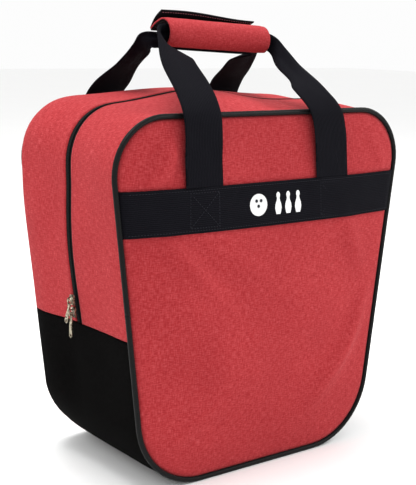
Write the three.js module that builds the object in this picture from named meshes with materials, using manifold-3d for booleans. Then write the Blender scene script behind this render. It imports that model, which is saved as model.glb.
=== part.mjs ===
// A soft single bowling ball bag: two domed panels joined by a gusset, a zip that runs up one side,
// over the top and down the other, webbing handles, and a padded grip wrap.
// Millimetres, +Z up, front towards -Y, origin under the middle of the base.
import * as THREE from "three";
import { mergeVertices } from "three/addons/utils/BufferGeometryUtils.js";
import Module from "manifold-3d";

// ---- Driving dimensions ----
const PIPING_RADIUS = 3;
const OUTLINE_BASE_Z = PIPING_RADIUS; // the seam outline's lowest and highest lines
const OUTLINE_TOP_Z = 420;
const BASE_HALF_WIDTH = 164; // half-widths where the straight sides would meet those lines
const TOP_HALF_WIDTH = 213.6;
const TOP_CORNER_RADIUS = 61;
const BASE_CORNER_RADIUS = 87;
const SEAM_Y = 103.3;
const GUSSET_EDGE_Y = 100;
const GUSSET_WALL = 3;
const SIDE_CROWN = 6; // how far the gusset stands out between its seams
const BASE_CROWN = 3.3;
const TOP_CROWN = { edge: 7, peak: 15, peakX: -30, spread: 85 };
const SPLIT_Z = 179; // the lid folds forward above this line
const GAP = 0.3;
const PANEL = { inset: 3.4, rimY: 104.8, bulge: 15, wall: 3 };
const LINING = { inset: 4.6, rimY: 101.3, bulge: 15, wall: 1.2 };
const PANEL_RINGS = [0, 0.3, 0.55, 0.75, 0.9, 1];
const ZIP = { tapeOuterY: 5.2, tapeInnerY: 2.1, coilOuterY: 1.8, clothY: 5.5, tapeDrop: 0.9 };
const BAND = { low: 294, high: 344, thick: 2, lift: 0.6 };
const WEBBING = { width: 50, thick: 2 };
const GRIP = { leftX: -77, rightX: 71, leftZ: 507, rightZ: 500, radius: 17 };
const COVER_WALL = 1.6;
const GRIP_LINING_WALL = 1.2;
const LIP = { y: 26, z: 3 }; // the wrap's rear edge, from the grip's axis
const FLAP = { rootY: 27.4, rootZ: 4.2, tipY: 4, tipZ: 27, thick: 1.6, rightX: 60 };
const SLIDER = { length: 12.5, width: 9, thick: 2, lift: 0.9, lowZ: 193.5, pitch: 14.5 };
const BRIDGE = { reach: 4.6, span: 7.5, wire: 0.7 };
const PULL = { length: 30, half: 2.7, thick: 1.3, bar: 0.6, slotEnd: 5.2, hole: 1.7 };
// Each pull hangs clear of the other: the upper one leans to the rear and has a long narrow neck.
const PULLS = {
  lower: { lean: 0.04, head: 2.1, slot: 1.15, neck: 2.1, neckEnd: 8 },
  upper: { lean: 0.3, head: 3, slot: 2.2, neck: 1.6, neckEnd: 15 },
};
const BOARD = { x: 150, y: 160, thick: 2.4 };
const BALL_RING = { outer: 88, inner: 56, height: 30 };

const wasm = await Module();
wasm.setup();

// ---- Shape helpers ----

/** A closed body from triangles, turned round if its faces point inwards. */
function body(triangles) {
  let volume = 0;
  for (const [a, b, c] of triangles) volume += a.dot(new THREE.Vector3().crossVectors(b, c));
  const positions = [];
  for (const [a, b, c] of triangles) {
    for (const p of volume < 0 ? [a, c, b] : [a, b, c]) positions.push(p.x, p.y, p.z);
  }
  const geometry = new THREE.BufferGeometry();
  geometry.setAttribute("position", new THREE.Float32BufferAttribute(positions, 3));
  geometry.computeVertexNormals();
  return geometry;
}

/** The two triangles of a quad, in order round its edge. */
const quad = (a, b, c, d) => [[a, b, c], [a, c, d]];

/** A skin through equal loops of points, with its two ends closed unless it runs round to its start. */
function loft(loops, ring = false) {
  const triangles = [];
  const count = loops[0].length;
  const spans = ring ? loops.length : loops.length - 1;
  for (let i = 0; i < spans; i++) {
    const here = loops[i];
    const next = loops[(i + 1) % loops.length];
    for (let j = 0; j < count; j++) {
      const k = (j + 1) % count;
      triangles.push(...quad(here[j], next[j], next[k], here[k]));
    }
  }
  if (!ring) {
    for (const [loop, turn] of [[loops[0], false], [loops[loops.length - 1], true]]) {
      for (let j = 0; j + 1 < count / 2; j++) {
        const corners = [loop[j], loop[j + 1], loop[count - 2 - j], loop[count - 1 - j]];
        triangles.push(...quad(...(turn ? corners.reverse() : corners)));
      }
    }
  }
  return body(triangles);
}

/** A manifold solid of a closed geometry. */
function solid(geometry) {
  const bare = geometry.clone();
  bare.deleteAttribute("normal");
  bare.deleteAttribute("uv");
  const merged = mergeVertices(bare, 1e-4);
  return new wasm.Manifold(new wasm.Mesh({
    numProp: 3,
    vertProperties: merged.attributes.position.array,
    triVerts: new Uint32Array(merged.index.array),
  }));
}

/** A geometry of a manifold solid. */
function geometryOf(made) {
  const mesh = made.getMesh();
  const geometry = new THREE.BufferGeometry();
  geometry.setAttribute("position", new THREE.Float32BufferAttribute(mesh.vertProperties, 3));
  geometry.setIndex([...mesh.triVerts]);
  const flat = geometry.toNonIndexed();
  flat.computeVertexNormals();
  return flat;
}

/** The part of a geometry between two heights. */
function between(geometry, low, high) {
  const slab = new THREE.BoxGeometry(900, 900, high - low).translate(0, 0, (low + high) / 2);
  return geometryOf(solid(geometry).intersect(solid(slab)));
}

// ---- The seam outline: a trapezoid with round corners, in the XZ plane ----

const SIDE_SLOPE = (TOP_HALF_WIDTH - BASE_HALF_WIDTH) / (OUTLINE_TOP_Z - OUTLINE_BASE_Z);
const SIDE_TILT = Math.atan(SIDE_SLOPE);
const halfWidth = (z) => BASE_HALF_WIDTH + SIDE_SLOPE * (z - OUTLINE_BASE_Z);

/** A point of the outline with its outward direction, given as an angle from +X towards +Z. */
const rimPoint = (x, z, angle) => ({ x, z, nx: Math.cos(angle), nz: Math.sin(angle) });

/** The point of a straight side at a height: side is -1 for the left and 1 for the right. */
const sidePoint = (side, z) =>
  rimPoint(side * halfWidth(z), z, side > 0 ? -SIDE_TILT : Math.PI + SIDE_TILT);

/** A round corner's points. Its centre lies a radius inside the two straight lines that meet there. */
function corner(side, top, steps) {
  const radius = top ? TOP_CORNER_RADIUS : BASE_CORNER_RADIUS;
  const z = top ? OUTLINE_TOP_Z - radius : OUTLINE_BASE_Z + radius;
  const x = halfWidth(z) - radius / Math.cos(SIDE_TILT);
  const from = -SIDE_TILT;
  const to = top ? Math.PI / 2 : -Math.PI / 2;
  const points = [];
  for (let i = 0; i <= steps; i++) {
    const angle = from + ((to - from) * i) / steps;
    const turned = side > 0 ? angle : Math.PI - angle;
    points.push(rimPoint(side * (x + radius * Math.cos(angle)), z + radius * Math.sin(angle), turned));
  }
  return points;
}

/** Evenly spaced points strictly between the last of one stretch and the first of the next. */
function along(a, b, steps) {
  const points = [];
  for (let i = 1; i < steps; i++) {
    const t = i / steps;
    points.push({ x: a.x + (b.x - a.x) * t, z: a.z + (b.z - a.z) * t, nx: a.nx, nz: a.nz });
  }
  return points;
}

/** The outline from the left side at a height, over the top, to the right side at that height. */
function upperPath(z) {
  const start = sidePoint(-1, z);
  const left = corner(-1, true, 7);
  const right = corner(1, true, 7).reverse();
  return [
    start, ...along(start, left[0], 4), ...left, ...along(left.at(-1), right[0], 8), ...right,
    ...along(right.at(-1), sidePoint(1, z), 4), sidePoint(1, z),
  ];
}

/** The outline from the right side at a height, under the base, to the left side at that height. */
function lowerPath(z) {
  const start = sidePoint(1, z);
  const right = corner(1, false, 7);
  const left = corner(-1, false, 7).reverse();
  return [
    start, ...along(start, right[0], 3), ...right, ...along(right.at(-1), left[0], 4), ...left,
    ...along(left.at(-1), sidePoint(-1, z), 3), sidePoint(-1, z),
  ];
}

const wholePath = () => [...upperPath(SPLIT_Z), ...lowerPath(SPLIT_Z).slice(1, -1)];
const moved = (p, offset) => ({ x: p.x + p.nx * offset, z: p.z + p.nz * offset });

// ---- Gusset, piping and zip ----

/** How far the gusset stands out of the outline at a point of it, halfway between the seams. */
function crownAt(p) {
  const up = Math.max(0, p.nz);
  const down = Math.max(0, -p.nz - Math.sin(SIDE_TILT)) / (1 - Math.sin(SIDE_TILT));
  const hump = TOP_CROWN.peak * Math.exp(-(((p.x - TOP_CROWN.peakX) / TOP_CROWN.spread) ** 2));
  const top = TOP_CROWN.edge + hump;
  return { depth: SIDE_CROWN + (top - SIDE_CROWN) * up + (BASE_CROWN - SIDE_CROWN) * down, down };
}

/** The gusset's outer offset from the outline at a distance y from its middle. */
function crownOffset(p, y) {
  const { depth, down } = crownAt(p);
  const flatness = 2 + 10 * down; // the base is flat nearly to its seams
  return depth * (1 - Math.abs(y / GUSSET_EDGE_Y) ** flatness);
}

/** A strip that follows the gusset along a path, across the given y stations. */
function gussetStrip(path, stations, drop, wall) {
  const loops = path.map((p) => {
    const layer = (y, depth) => {
      const q = moved(p, crownOffset(p, y) - depth);
      return new THREE.Vector3(q.x, y, Math.max(q.z, depth));
    };
    const outer = stations.map((y) => layer(y, drop));
    const inner = stations.map((y) => layer(y, drop + wall));
    return [...outer, ...inner.reverse()];
  });
  return loft(loops);
}

/** Evenly spaced values from a to b. */
const spread = (a, b, steps) => Array.from({ length: steps + 1 }, (_, i) => a + ((b - a) * i) / steps);

/** Round piping along a path, at one seam. */
function piping(path, y, ring = false) {
  const sides = 8;
  const loops = path.map((p) =>
    Array.from({ length: sides }, (_, i) => {
      const turn = ((i + 0.5) / sides) * 2 * Math.PI;
      const reach = PIPING_RADIUS * Math.cos(turn);
      const q = moved(p, reach);
      return new THREE.Vector3(q.x, y + PIPING_RADIUS * Math.sin(turn), Math.max(0, q.z));
    }));
  return loft(loops, ring);
}

// ---- Domed panels ----

const CENTRE = { x: 0, z: (OUTLINE_BASE_Z + OUTLINE_TOP_Z) / 2 };

/** 0 in the middle of a panel and 1 on its rim, growing evenly along every line from the middle. */
function reachOf(x, z, inset) {
  const rim = wholePath().map((p) => moved(p, -inset));
  const dx = x - CENTRE.x;
  const dz = z - CENTRE.z;
  let reach = 0;
  rim.forEach((a, i) => {
    const b = rim[(i + 1) % rim.length];
    const ex = b.x - a.x;
    const ez = b.z - a.z;
    const ax = a.x - CENTRE.x;
    const az = a.z - CENTRE.z;
    reach = Math.max(reach, (dx * ez - dz * ex) / (ax * ez - az * ex));
  });
  return reach;
}

/** How far the front panel's outer face stands from the middle plane. */
const domeY = (x, z) => PANEL.rimY + PANEL.bulge * (1 - Math.min(1, reachOf(x, z, PANEL.inset)) ** 2);

/** A domed sheet that fills the outline, for the front; the rear one is turned round. */
function dome({ inset, rimY, bulge, wall }) {
  const rim = wholePath().map((p) => moved(p, -inset));
  const layer = (back) => PANEL_RINGS.map((s) => {
    const y = -(rimY + bulge * (1 - s * s) - back);
    return rim.map((p) => new THREE.Vector3(p.x * s, y, CENTRE.z + (p.z - CENTRE.z) * s));
  });
  const faces = [layer(0), layer(wall)];
  const triangles = [];
  faces.forEach((rings, side) => {
    for (let i = 0; i < rim.length; i++) {
      const k = (i + 1) % rim.length;
      const fan = [rings[0][0], rings[1][i], rings[1][k]];
      triangles.push(side ? fan.reverse() : fan);
      for (let r = 1; r + 1 < rings.length; r++) {
        const corners = [rings[r][i], rings[r + 1][i], rings[r + 1][k], rings[r][k]];
        triangles.push(...quad(...(side ? corners.reverse() : corners)));
      }
    }
  });
  const [front, back] = faces.map((rings) => rings.at(-1));
  for (let i = 0; i < rim.length; i++) {
    const k = (i + 1) % rim.length;
    triangles.push(...quad(front[i], back[i], back[k], front[k]));
  }
  return body(triangles);
}

/** The webbing band across the front panel, following its dome. */
function band() {
  const heights = [BAND.low, (BAND.low + BAND.high) / 2, BAND.high];
  const loops = spread(-1, 1, 16).map((u) => {
    const layer = (lift) => heights.map((z) => {
      const x = u * (halfWidth(z) - PANEL.inset - GAP - 0.4);
      return new THREE.Vector3(x, -(domeY(x, z) + lift), z);
    });
    return [...layer(BAND.lift + BAND.thick), ...layer(BAND.lift).reverse()];
  });
  return loft(loops);
}

// ---- Handles ----

const gripZ = (x) => GRIP.leftZ + ((x - GRIP.leftX) / (GRIP.rightX - GRIP.leftX)) * (GRIP.rightZ - GRIP.leftZ);

/** A ribbon through stations of {at, turn, width, thick, lean, yaw}: turn is 0 where its width lies level
 * and a quarter turn where it stands upright in the grip, and yaw swings its right edge to the rear. */
function ribbon(stations) {
  const line = new THREE.CatmullRomCurve3(stations.map((s) => s.at), false, "centripetal");
  const last = stations.length - 1;
  const loops = spread(0, last, last * 2).map((step) => {
    const i = Math.min(last - 1, Math.floor(step));
    const t = step - i;
    const mix = (key) => stations[i][key] * (1 - t) + stations[i + 1][key] * t;
    const [turn, yaw] = [mix("turn"), mix("yaw")];
    const across = new THREE.Vector3(Math.cos(turn) * Math.cos(yaw), Math.sin(yaw), -Math.sin(turn));
    across.multiplyScalar(mix("width") / 2);
    const lean = mix("lean");
    const depth = new THREE.Vector3(0, Math.cos(lean), -Math.sin(lean)).multiplyScalar(mix("thick") / 2);
    const at = line.getPoint(step / last);
    const point = (a, d) => at.clone().addScaledVector(across, a).addScaledVector(depth, d);
    return [point(-1, -1), point(1, -1), point(1, 1), point(-1, 1)];
  });
  return loft(loops);
}

/** One handle: up the left leg, through the grip, and down the right leg. A row of a leg is
 * [x, y, z, turn, width, thick, lean, yaw] of the front handle, from its band up to the grip. */
function handle(leftLeg, rightLeg, fold) {
  const station = ([x, y, z, turn, width, thick, lean, yaw = 0]) =>
    ({ at: new THREE.Vector3(x, y, z), turn, width, thick, lean, yaw });
  const inGrip = [-45, -3, 38].map((x) =>
    station([x, fold.y, gripZ(x) + fold.z, Math.PI / 2, fold.width, fold.thick, 0]));
  const goingDown = rightLeg.map(station).map((s) => ({ ...s, turn: Math.PI - s.turn, yaw: -s.yaw })).reverse();
  return ribbon([...leftLeg.map(station), ...inGrip, ...goingDown]);
}

const STRAP_Y = -(domeY(0, BAND.high) + BAND.lift + WEBBING.thick / 2);

/** The stretch of a leg that lies on its panel, then bends back over the bag's top. The five values of
 * xs are its centre line's x from the band up. */
function leg(xs, bend) {
  const { width, thick } = WEBBING;
  const rise = [
    [STRAP_Y, BAND.high + 0.7, 0], [STRAP_Y, 372, 0], [STRAP_Y + 0.5, 400, 0], [STRAP_Y + 5, 424, 0.35],
    [-92, 446, 0.9],
  ];
  return [...rise.map(([y, z, lean], i) => [xs[i], y, z, 0, width, thick, lean]), ...bend];
}

function frontHandle() {
  const up = Math.PI / 2;
  const left = leg([-99, -101, -101, -101, -97.5], [
    [-94, -60, 472, 0.08, 49, 2.4, 0.75],
    [-85, -34, 489, 0.38, 46, 3.2, 0.5],
    [-87, -14, 501, 1.05, 28, 4.2, 0.1],
    [-78, -5.2, 506.8, up, 20, 4.4, 0],
  ]);
  const right = leg([89, 86, 83, 78, 69.5], [
    [71.5, -62, 464, 0.3, 43, 2.4, 0.75, 0.45],
    [71, -34, 481, 0.55, 34, 3.2, 0.5, 0.2],
    [80, -12, 494, 1.2, 22, 4.2, 0.1],
    [70, -5.3, 499.8, up, 19.4, 4.4, 0],
  ]);
  return { left, right };
}

function rearHandle() {
  const up = Math.PI / 2;
  const left = leg([-93, -92, -92, -90, -86], [
    [-84.5, -62, 468, 0.1, 40, 2.4, 0.75, -0.3],
    [-87, -34, 486, 0.4, 32, 3.4, 0.4, -0.3],
    [-93, -16, 496, 1.0, 21, 4.6, 0.1],
    [-80, -6.5, 498, up, 16, 4.4, 0],
  ]);
  const right = leg([97, 97, 97, 97, 91], [
    [82, -62, 462, 0.05, 46, 2.4, 0.75],
    [73, -34, 478, 0.3, 38, 3.4, 0.4],
    [74, -16, 488, 0.95, 22, 4.6, 0.1],
    [61, -6.5, 491, up, 16, 4.4, 0],
  ]);
  return { left, right };
}

// ---- Grip wrap ----

/** The wrap's outer edge in the YZ plane, from its front lower edge over the top to its rear lip. */
function wrapCurve(radius, lipDrop) {
  const round = spread(250, 70, 9).map((degrees) => {
    const turn = (degrees * Math.PI) / 180;
    return [radius * Math.cos(turn), radius * Math.sin(turn)];
  });
  const start = round.at(-1);
  const lip = [LIP.y, LIP.z + COVER_WALL - lipDrop];
  return [...round, [(start[0] + lip[0]) / 2, (start[1] + lip[1]) / 2 + 0.8], lip];
}

/** A wall of even thickness along a curve in the YZ plane, as one loop of [y, z]. */
function wallLoop(curve, wall) {
  const inner = curve.map(([y, z], i) => {
    const a = curve[Math.max(0, i - 1)];
    const b = curve[Math.min(curve.length - 1, i + 1)];
    const length = Math.hypot(b[0] - a[0], b[1] - a[1]);
    return [y + ((b[1] - a[1]) / length) * wall, z - ((b[0] - a[0]) / length) * wall];
  });
  return [...curve, ...inner.reverse()];
}

/** A section in the YZ plane carried along the grip's axis. */
const alongGrip = (loop, fromX, toX) =>
  loft(spread(fromX, toX, 4).map((x) => loop.map(([y, z]) => new THREE.Vector3(x, y, gripZ(x) + z))));

function flapLoop() {
  const middle = [(FLAP.rootY + FLAP.tipY) / 2 + 2, (FLAP.rootZ + FLAP.tipZ) / 2 + 2];
  return wallLoop([[FLAP.rootY, FLAP.rootZ], middle, [FLAP.tipY, FLAP.tipZ]], FLAP.thick);
}

// ---- Zip sliders: made at the origin with +Z along the zip and -X away from the bag ----

/** The slider's outer plate, waisted in the middle, standing off the zip. */
function sliderPlate() {
  const half = SLIDER.length / 2;
  const wide = SLIDER.width / 2;
  const plan = new THREE.Shape();
  plan.moveTo(-wide * 0.7, -half);
  plan.lineTo(wide * 0.7, -half);
  plan.lineTo(wide * 0.8, 0);
  plan.lineTo(wide, half * 0.6);
  plan.quadraticCurveTo(wide * 0.9, half, 0, half);
  plan.quadraticCurveTo(-wide * 0.9, half, -wide, half * 0.6);
  plan.lineTo(-wide * 0.8, 0);
  plan.closePath();
  const options = { depth: SLIDER.thick, bevelEnabled: false, curveSegments: 5 };
  const plate = new THREE.ExtrudeGeometry(plan, options);
  return plate.rotateX(Math.PI / 2).rotateZ(-Math.PI / 2).translate(-SLIDER.lift, 0, 0);
}

/** The wire bridge that the pull hangs on. */
function sliderBridge() {
  const half = BRIDGE.span / 2;
  const foot = -(SLIDER.lift + SLIDER.thick + GAP);
  const points = [
    [foot, -half], [foot - BRIDGE.reach * 0.7, -half + 0.3], [foot - BRIDGE.reach, -half + 1.6],
    [foot - BRIDGE.reach, half - 1.6], [foot - BRIDGE.reach * 0.7, half - 0.3], [foot, half],
  ].map(([x, z]) => new THREE.Vector3(x, 0, z));
  const wire = new THREE.Shape();
  wire.absarc(0, 0, BRIDGE.wire, 0, 2 * Math.PI, false);
  return new THREE.ExtrudeGeometry(wire, {
    steps: 14, curveSegments: 3, bevelEnabled: false,
    extrudePath: new THREE.CatmullRomCurve3(points, false, "centripetal"),
  });
}

/** The pull: a flat tongue that hangs below the origin from a bar inside the bridge. It has a slot
 * that lets the bridge through and a hole near its round end. */
function pullTongue({ head, slot, neck, neckEnd }) {
  const { length, half, thick, bar, slotEnd, hole } = PULL;
  const end = bar - length + half;
  const headEnd = slotEnd + 0.9;
  const side = [[head, bar], [head, -headEnd], [neck, -headEnd - 1.4], [neck, -neckEnd], [half, -neckEnd - 4]];
  const plan = new THREE.Shape();
  plan.moveTo(-head, bar);
  for (const [y, z] of side) plan.lineTo(y, z);
  plan.lineTo(half, end);
  plan.absarc(0, end, half, 0, -Math.PI, true);
  for (const [y, z] of side.slice(1).reverse()) plan.lineTo(-y, z);
  plan.closePath();
  const opening = new THREE.Path();
  opening.moveTo(-slot, -bar);
  opening.lineTo(-slot, -slotEnd);
  opening.lineTo(slot, -slotEnd);
  opening.lineTo(slot, -bar);
  opening.closePath();
  const eye = new THREE.Path();
  eye.absarc(0, end, hole, 0, 2 * Math.PI, false);
  plan.holes.push(opening, eye);
  const tongue = new THREE.ExtrudeGeometry(plan, { depth: thick, bevelEnabled: false, curveSegments: 8 });
  return tongue.rotateX(Math.PI / 2).rotateZ(-Math.PI / 2).translate(thick / 2, 0, 0);
}

/** Where a slider sits: on the zip's left side, at a height, with its own group and tilt. */
function sliderGroup(z) {
  const p = moved(sidePoint(-1, z), SIDE_CROWN);
  const group = new THREE.Group();
  group.position.set(p.x, 0, p.z);
  group.rotation.y = -SIDE_TILT;
  return group;
}

// ---- Materials and assembly ----

const finish = (color, roughness, metalness = 0) => ({ color, roughness, metalness });
const RED_CANVAS = finish(0xcd484e, 0.85);
const BLACK_CANVAS = finish(0x161414, 0.85);
const BLACK_WEBBING = finish(0x1c1e26, 0.8);
const BLACK_PIPING = finish(0x141416, 0.5);
const BLACK_LINING = finish(0x202022, 0.75);
const BLACK_ZIP = finish(0x101314, 0.6);
const ANTIQUE_NICKEL = finish(0x9a927c, 0.35, 0.9);
const BLACK_BOARD = finish(0x262626, 0.6);
const GREY_FOAM = finish(0x55565a, 0.95);

const bag = new THREE.Group();

/** Adds one named piece to a group. */
function add(name, geometry, look, group = bag) {
  const mesh = new THREE.Mesh(geometry, new THREE.MeshStandardMaterial(look));
  mesh.name = name;
  group.add(mesh);
  return mesh;
}

/** Turns a piece of the front round to the rear. */
const toRear = (mesh) => {
  mesh.rotation.z = Math.PI;
  return mesh;
};

function addPanels() {
  const low = SPLIT_Z - GAP;
  const high = SPLIT_Z + GAP;
  for (const [name, sheet, look] of [["panel", PANEL, RED_CANVAS], ["lining", LINING, BLACK_LINING]]) {
    add(`front_${name}_upper`, between(dome(sheet), high, OUTLINE_TOP_Z + 10), look);
    add(`front_${name}_lower`, between(dome(sheet), 0, low), look);
    toRear(add(`rear_${name}`, dome(sheet), look));
  }
  add("front_band", band(), BLACK_WEBBING);
  toRear(add("rear_band", band(), BLACK_WEBBING));
}

function addGusset() {
  const upper = upperPath(SPLIT_Z + GAP);
  const lower = lowerPath(SPLIT_Z - GAP);
  const clothY = ZIP.clothY;
  add("front_gusset_red", gussetStrip(upper, spread(-GUSSET_EDGE_Y, -clothY, 4), 0, GUSSET_WALL), RED_CANVAS);
  add("rear_gusset_red", gussetStrip(upper, spread(clothY, GUSSET_EDGE_Y, 4), 0, GUSSET_WALL), RED_CANVAS);
  const stations = [-GUSSET_EDGE_Y, -85, -45, 0, 45, 85, GUSSET_EDGE_Y];
  add("base_gusset_black", gussetStrip(lower, stations, 0, GUSSET_WALL), BLACK_CANVAS);
  add("front_piping_upper", piping(upper, -SEAM_Y), BLACK_PIPING);
  add("front_piping_lower", piping(lower, -SEAM_Y), BLACK_PIPING);
  add("rear_piping", piping(wholePath(), SEAM_Y, true), BLACK_PIPING);
}

function addZip() {
  const upper = upperPath(SPLIT_Z + GAP);
  const { tapeOuterY, tapeInnerY, coilOuterY, tapeDrop } = ZIP;
  for (const [side, y] of [["front", -1], ["rear", 1]]) {
    const across = (a, b) => [a * y, b * y].sort((p, q) => p - q);
    const tape = gussetStrip(upper, across(tapeOuterY, tapeInnerY), tapeDrop, 1.2);
    const coil = gussetStrip(upper, across(coilOuterY, 0.2), -0.3, 2.4);
    add(`${side}_zip_tape`, tape, BLACK_ZIP);
    add(`${side}_zip_coil`, coil, BLACK_ZIP);
  }
  Object.entries(PULLS).forEach(([name, shape], index) => {
    const group = sliderGroup(SLIDER.lowZ + index * SLIDER.pitch);
    bag.add(group);
    add(`${name}_slider_body`, sliderPlate(), ANTIQUE_NICKEL, group);
    add(`${name}_slider_bridge`, sliderBridge(), ANTIQUE_NICKEL, group);
    const hang = new THREE.Group();
    hang.position.set(-(SLIDER.lift + SLIDER.thick + GAP + BRIDGE.reach * 0.45), 0, 0);
    hang.rotation.y = SIDE_TILT;
    group.add(hang);
    const tongue = add(`${name}_pull`, pullTongue(shape), ANTIQUE_NICKEL, hang);
    tongue.rotation.x = shape.lean;
  });
}

function addHandles() {
  const front = frontHandle();
  const rear = rearHandle();
  const frontFold = { y: -5.2, z: 0, width: 20, thick: 4.4 };
  const rearFold = { y: -6.5, z: -9.5, width: 16, thick: 4.4 };
  add("front_handle", handle(front.left, front.right, frontFold), BLACK_WEBBING);
  // The rear handle's legs are given as front ones, so its y is mirrored. Its fold lies under the lip.
  const strap = handle(rear.left, rear.right, rearFold).scale(1, -1, 1);
  add("rear_handle", reversed(strap), BLACK_WEBBING);
}

/** A geometry with its faces turned outwards again, after mirroring. */
function reversed(geometry) {
  const position = geometry.getAttribute("position");
  const triangles = [];
  for (let i = 0; i < position.count; i += 3) {
    triangles.push([0, 1, 2].map((k) => new THREE.Vector3().fromBufferAttribute(position, i + k)));
  }
  return body(triangles);
}

function addGrip() {
  const cover = wallLoop(wrapCurve(GRIP.radius, 0), COVER_WALL);
  const step = COVER_WALL + GAP;
  const lining = wallLoop(wrapCurve(GRIP.radius - step, step), GRIP_LINING_WALL);
  add("grip_cover", alongGrip(cover, GRIP.leftX, GRIP.rightX), RED_CANVAS);
  add("grip_lining", alongGrip(lining, GRIP.leftX + 1, GRIP.rightX - 1), BLACK_LINING);
  add("grip_flap", alongGrip(flapLoop(), GRIP.leftX, FLAP.rightX), BLACK_LINING);
}

function addInside() {
  const board = new THREE.BoxGeometry(BOARD.x, BOARD.y, BOARD.thick);
  const boardZ = GUSSET_WALL + GAP;
  add("base_board", board.translate(0, 0, boardZ + BOARD.thick / 2), BLACK_BOARD);
  const ringZ = boardZ + BOARD.thick + GAP;
  const { outer, inner, height } = BALL_RING;
  const profile = [
    [inner, 0], [outer, 0], [outer, height * 0.7], [outer - 8, height], [inner + 14, height],
    [inner, height * 0.4], [inner, 0],
  ].map(([r, z]) => new THREE.Vector2(r, z));
  const ring = new THREE.LatheGeometry(profile, 28).rotateX(Math.PI / 2);
  add("ball_ring_foam", reversed(ring.toNonIndexed()).translate(0, 0, ringZ), GREY_FOAM);
}

addPanels();
addGusset();
addZip();
addHandles();
addGrip();
addInside();

export default bag;
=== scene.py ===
"""A soft bowling ball bag: domed red canvas panels, a black base, a zip round the top, webbing handles
and a padded grip wrap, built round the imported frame. Metres, +Z up, the front faces -Y."""

import logging
import math
from bisect import bisect_right
from dataclasses import dataclass, field, replace
from enum import Enum
from itertools import accumulate
from typing import Callable, Sequence, Union

import bmesh
import bpy
from mathutils import Matrix, Vector, noise


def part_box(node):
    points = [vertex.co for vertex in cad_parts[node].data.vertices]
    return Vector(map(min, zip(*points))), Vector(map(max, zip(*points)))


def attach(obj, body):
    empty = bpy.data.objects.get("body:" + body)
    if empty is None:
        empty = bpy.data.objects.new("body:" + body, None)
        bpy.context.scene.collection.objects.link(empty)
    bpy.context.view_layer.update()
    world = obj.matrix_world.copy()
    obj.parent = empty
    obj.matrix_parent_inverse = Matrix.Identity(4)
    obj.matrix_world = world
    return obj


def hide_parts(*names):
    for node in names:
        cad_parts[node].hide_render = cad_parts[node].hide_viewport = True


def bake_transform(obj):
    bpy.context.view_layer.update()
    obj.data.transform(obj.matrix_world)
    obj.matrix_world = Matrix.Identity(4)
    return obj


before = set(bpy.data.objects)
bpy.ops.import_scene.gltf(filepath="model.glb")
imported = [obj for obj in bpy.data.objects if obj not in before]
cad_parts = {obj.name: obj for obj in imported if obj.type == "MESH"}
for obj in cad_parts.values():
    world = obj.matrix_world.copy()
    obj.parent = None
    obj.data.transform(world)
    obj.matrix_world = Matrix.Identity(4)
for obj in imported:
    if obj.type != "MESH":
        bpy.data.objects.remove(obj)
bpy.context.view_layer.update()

logging.basicConfig(level=logging.INFO, format="%(message)s")
LOG = logging.getLogger("bag")

MM = 0.001
TAU = 2 * math.pi
Place = Callable[[float, float], Vector]
Feed = Union["Val", float, tuple[float, ...]]


# ---------------------------------------------------------------- shader maths


class Val:
    """A shader value or colour that takes part in ordinary Python arithmetic."""

    def __init__(self, kit: "Shader", socket: bpy.types.NodeSocket) -> None:
        """Keeps the socket and the shader that it belongs to."""
        self.kit, self.socket = kit, socket

    def _math(self, operation: str, *others: Feed) -> "Val":
        """Adds a Math node on this value and others."""
        return self.kit.node("ShaderNodeMath", {"operation": operation}, self, *others)

    def __add__(self, other: Feed) -> "Val":
        """self + other."""
        return self._math("ADD", other)

    __radd__ = __add__

    def __mul__(self, other: Feed) -> "Val":
        """self * other."""
        return self._math("MULTIPLY", other)

    __rmul__ = __mul__

    def __sub__(self, other: Feed) -> "Val":
        """self - other."""
        return self._math("SUBTRACT", other)

    def __rsub__(self, other: Feed) -> "Val":
        """other - self."""
        return self.kit.node("ShaderNodeMath", {"operation": "SUBTRACT"}, other, self)

    def __pow__(self, other: Feed) -> "Val":
        """self to the power other."""
        return self._math("POWER", other)

    def sin(self) -> "Val":
        """The sine of the value."""
        return self._math("SINE")

    def clip(self) -> "Val":
        """The value held between 0 and 1."""
        return self.kit.node("ShaderNodeMath", {"operation": "ADD", "use_clamp": True}, self, 0.0)

    def band(self, low: float, high: float) -> "Val":
        """0 below low and 1 above high, with a straight rise between them."""
        return ((self - low) * (1.0 / (high - low))).clip()


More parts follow.
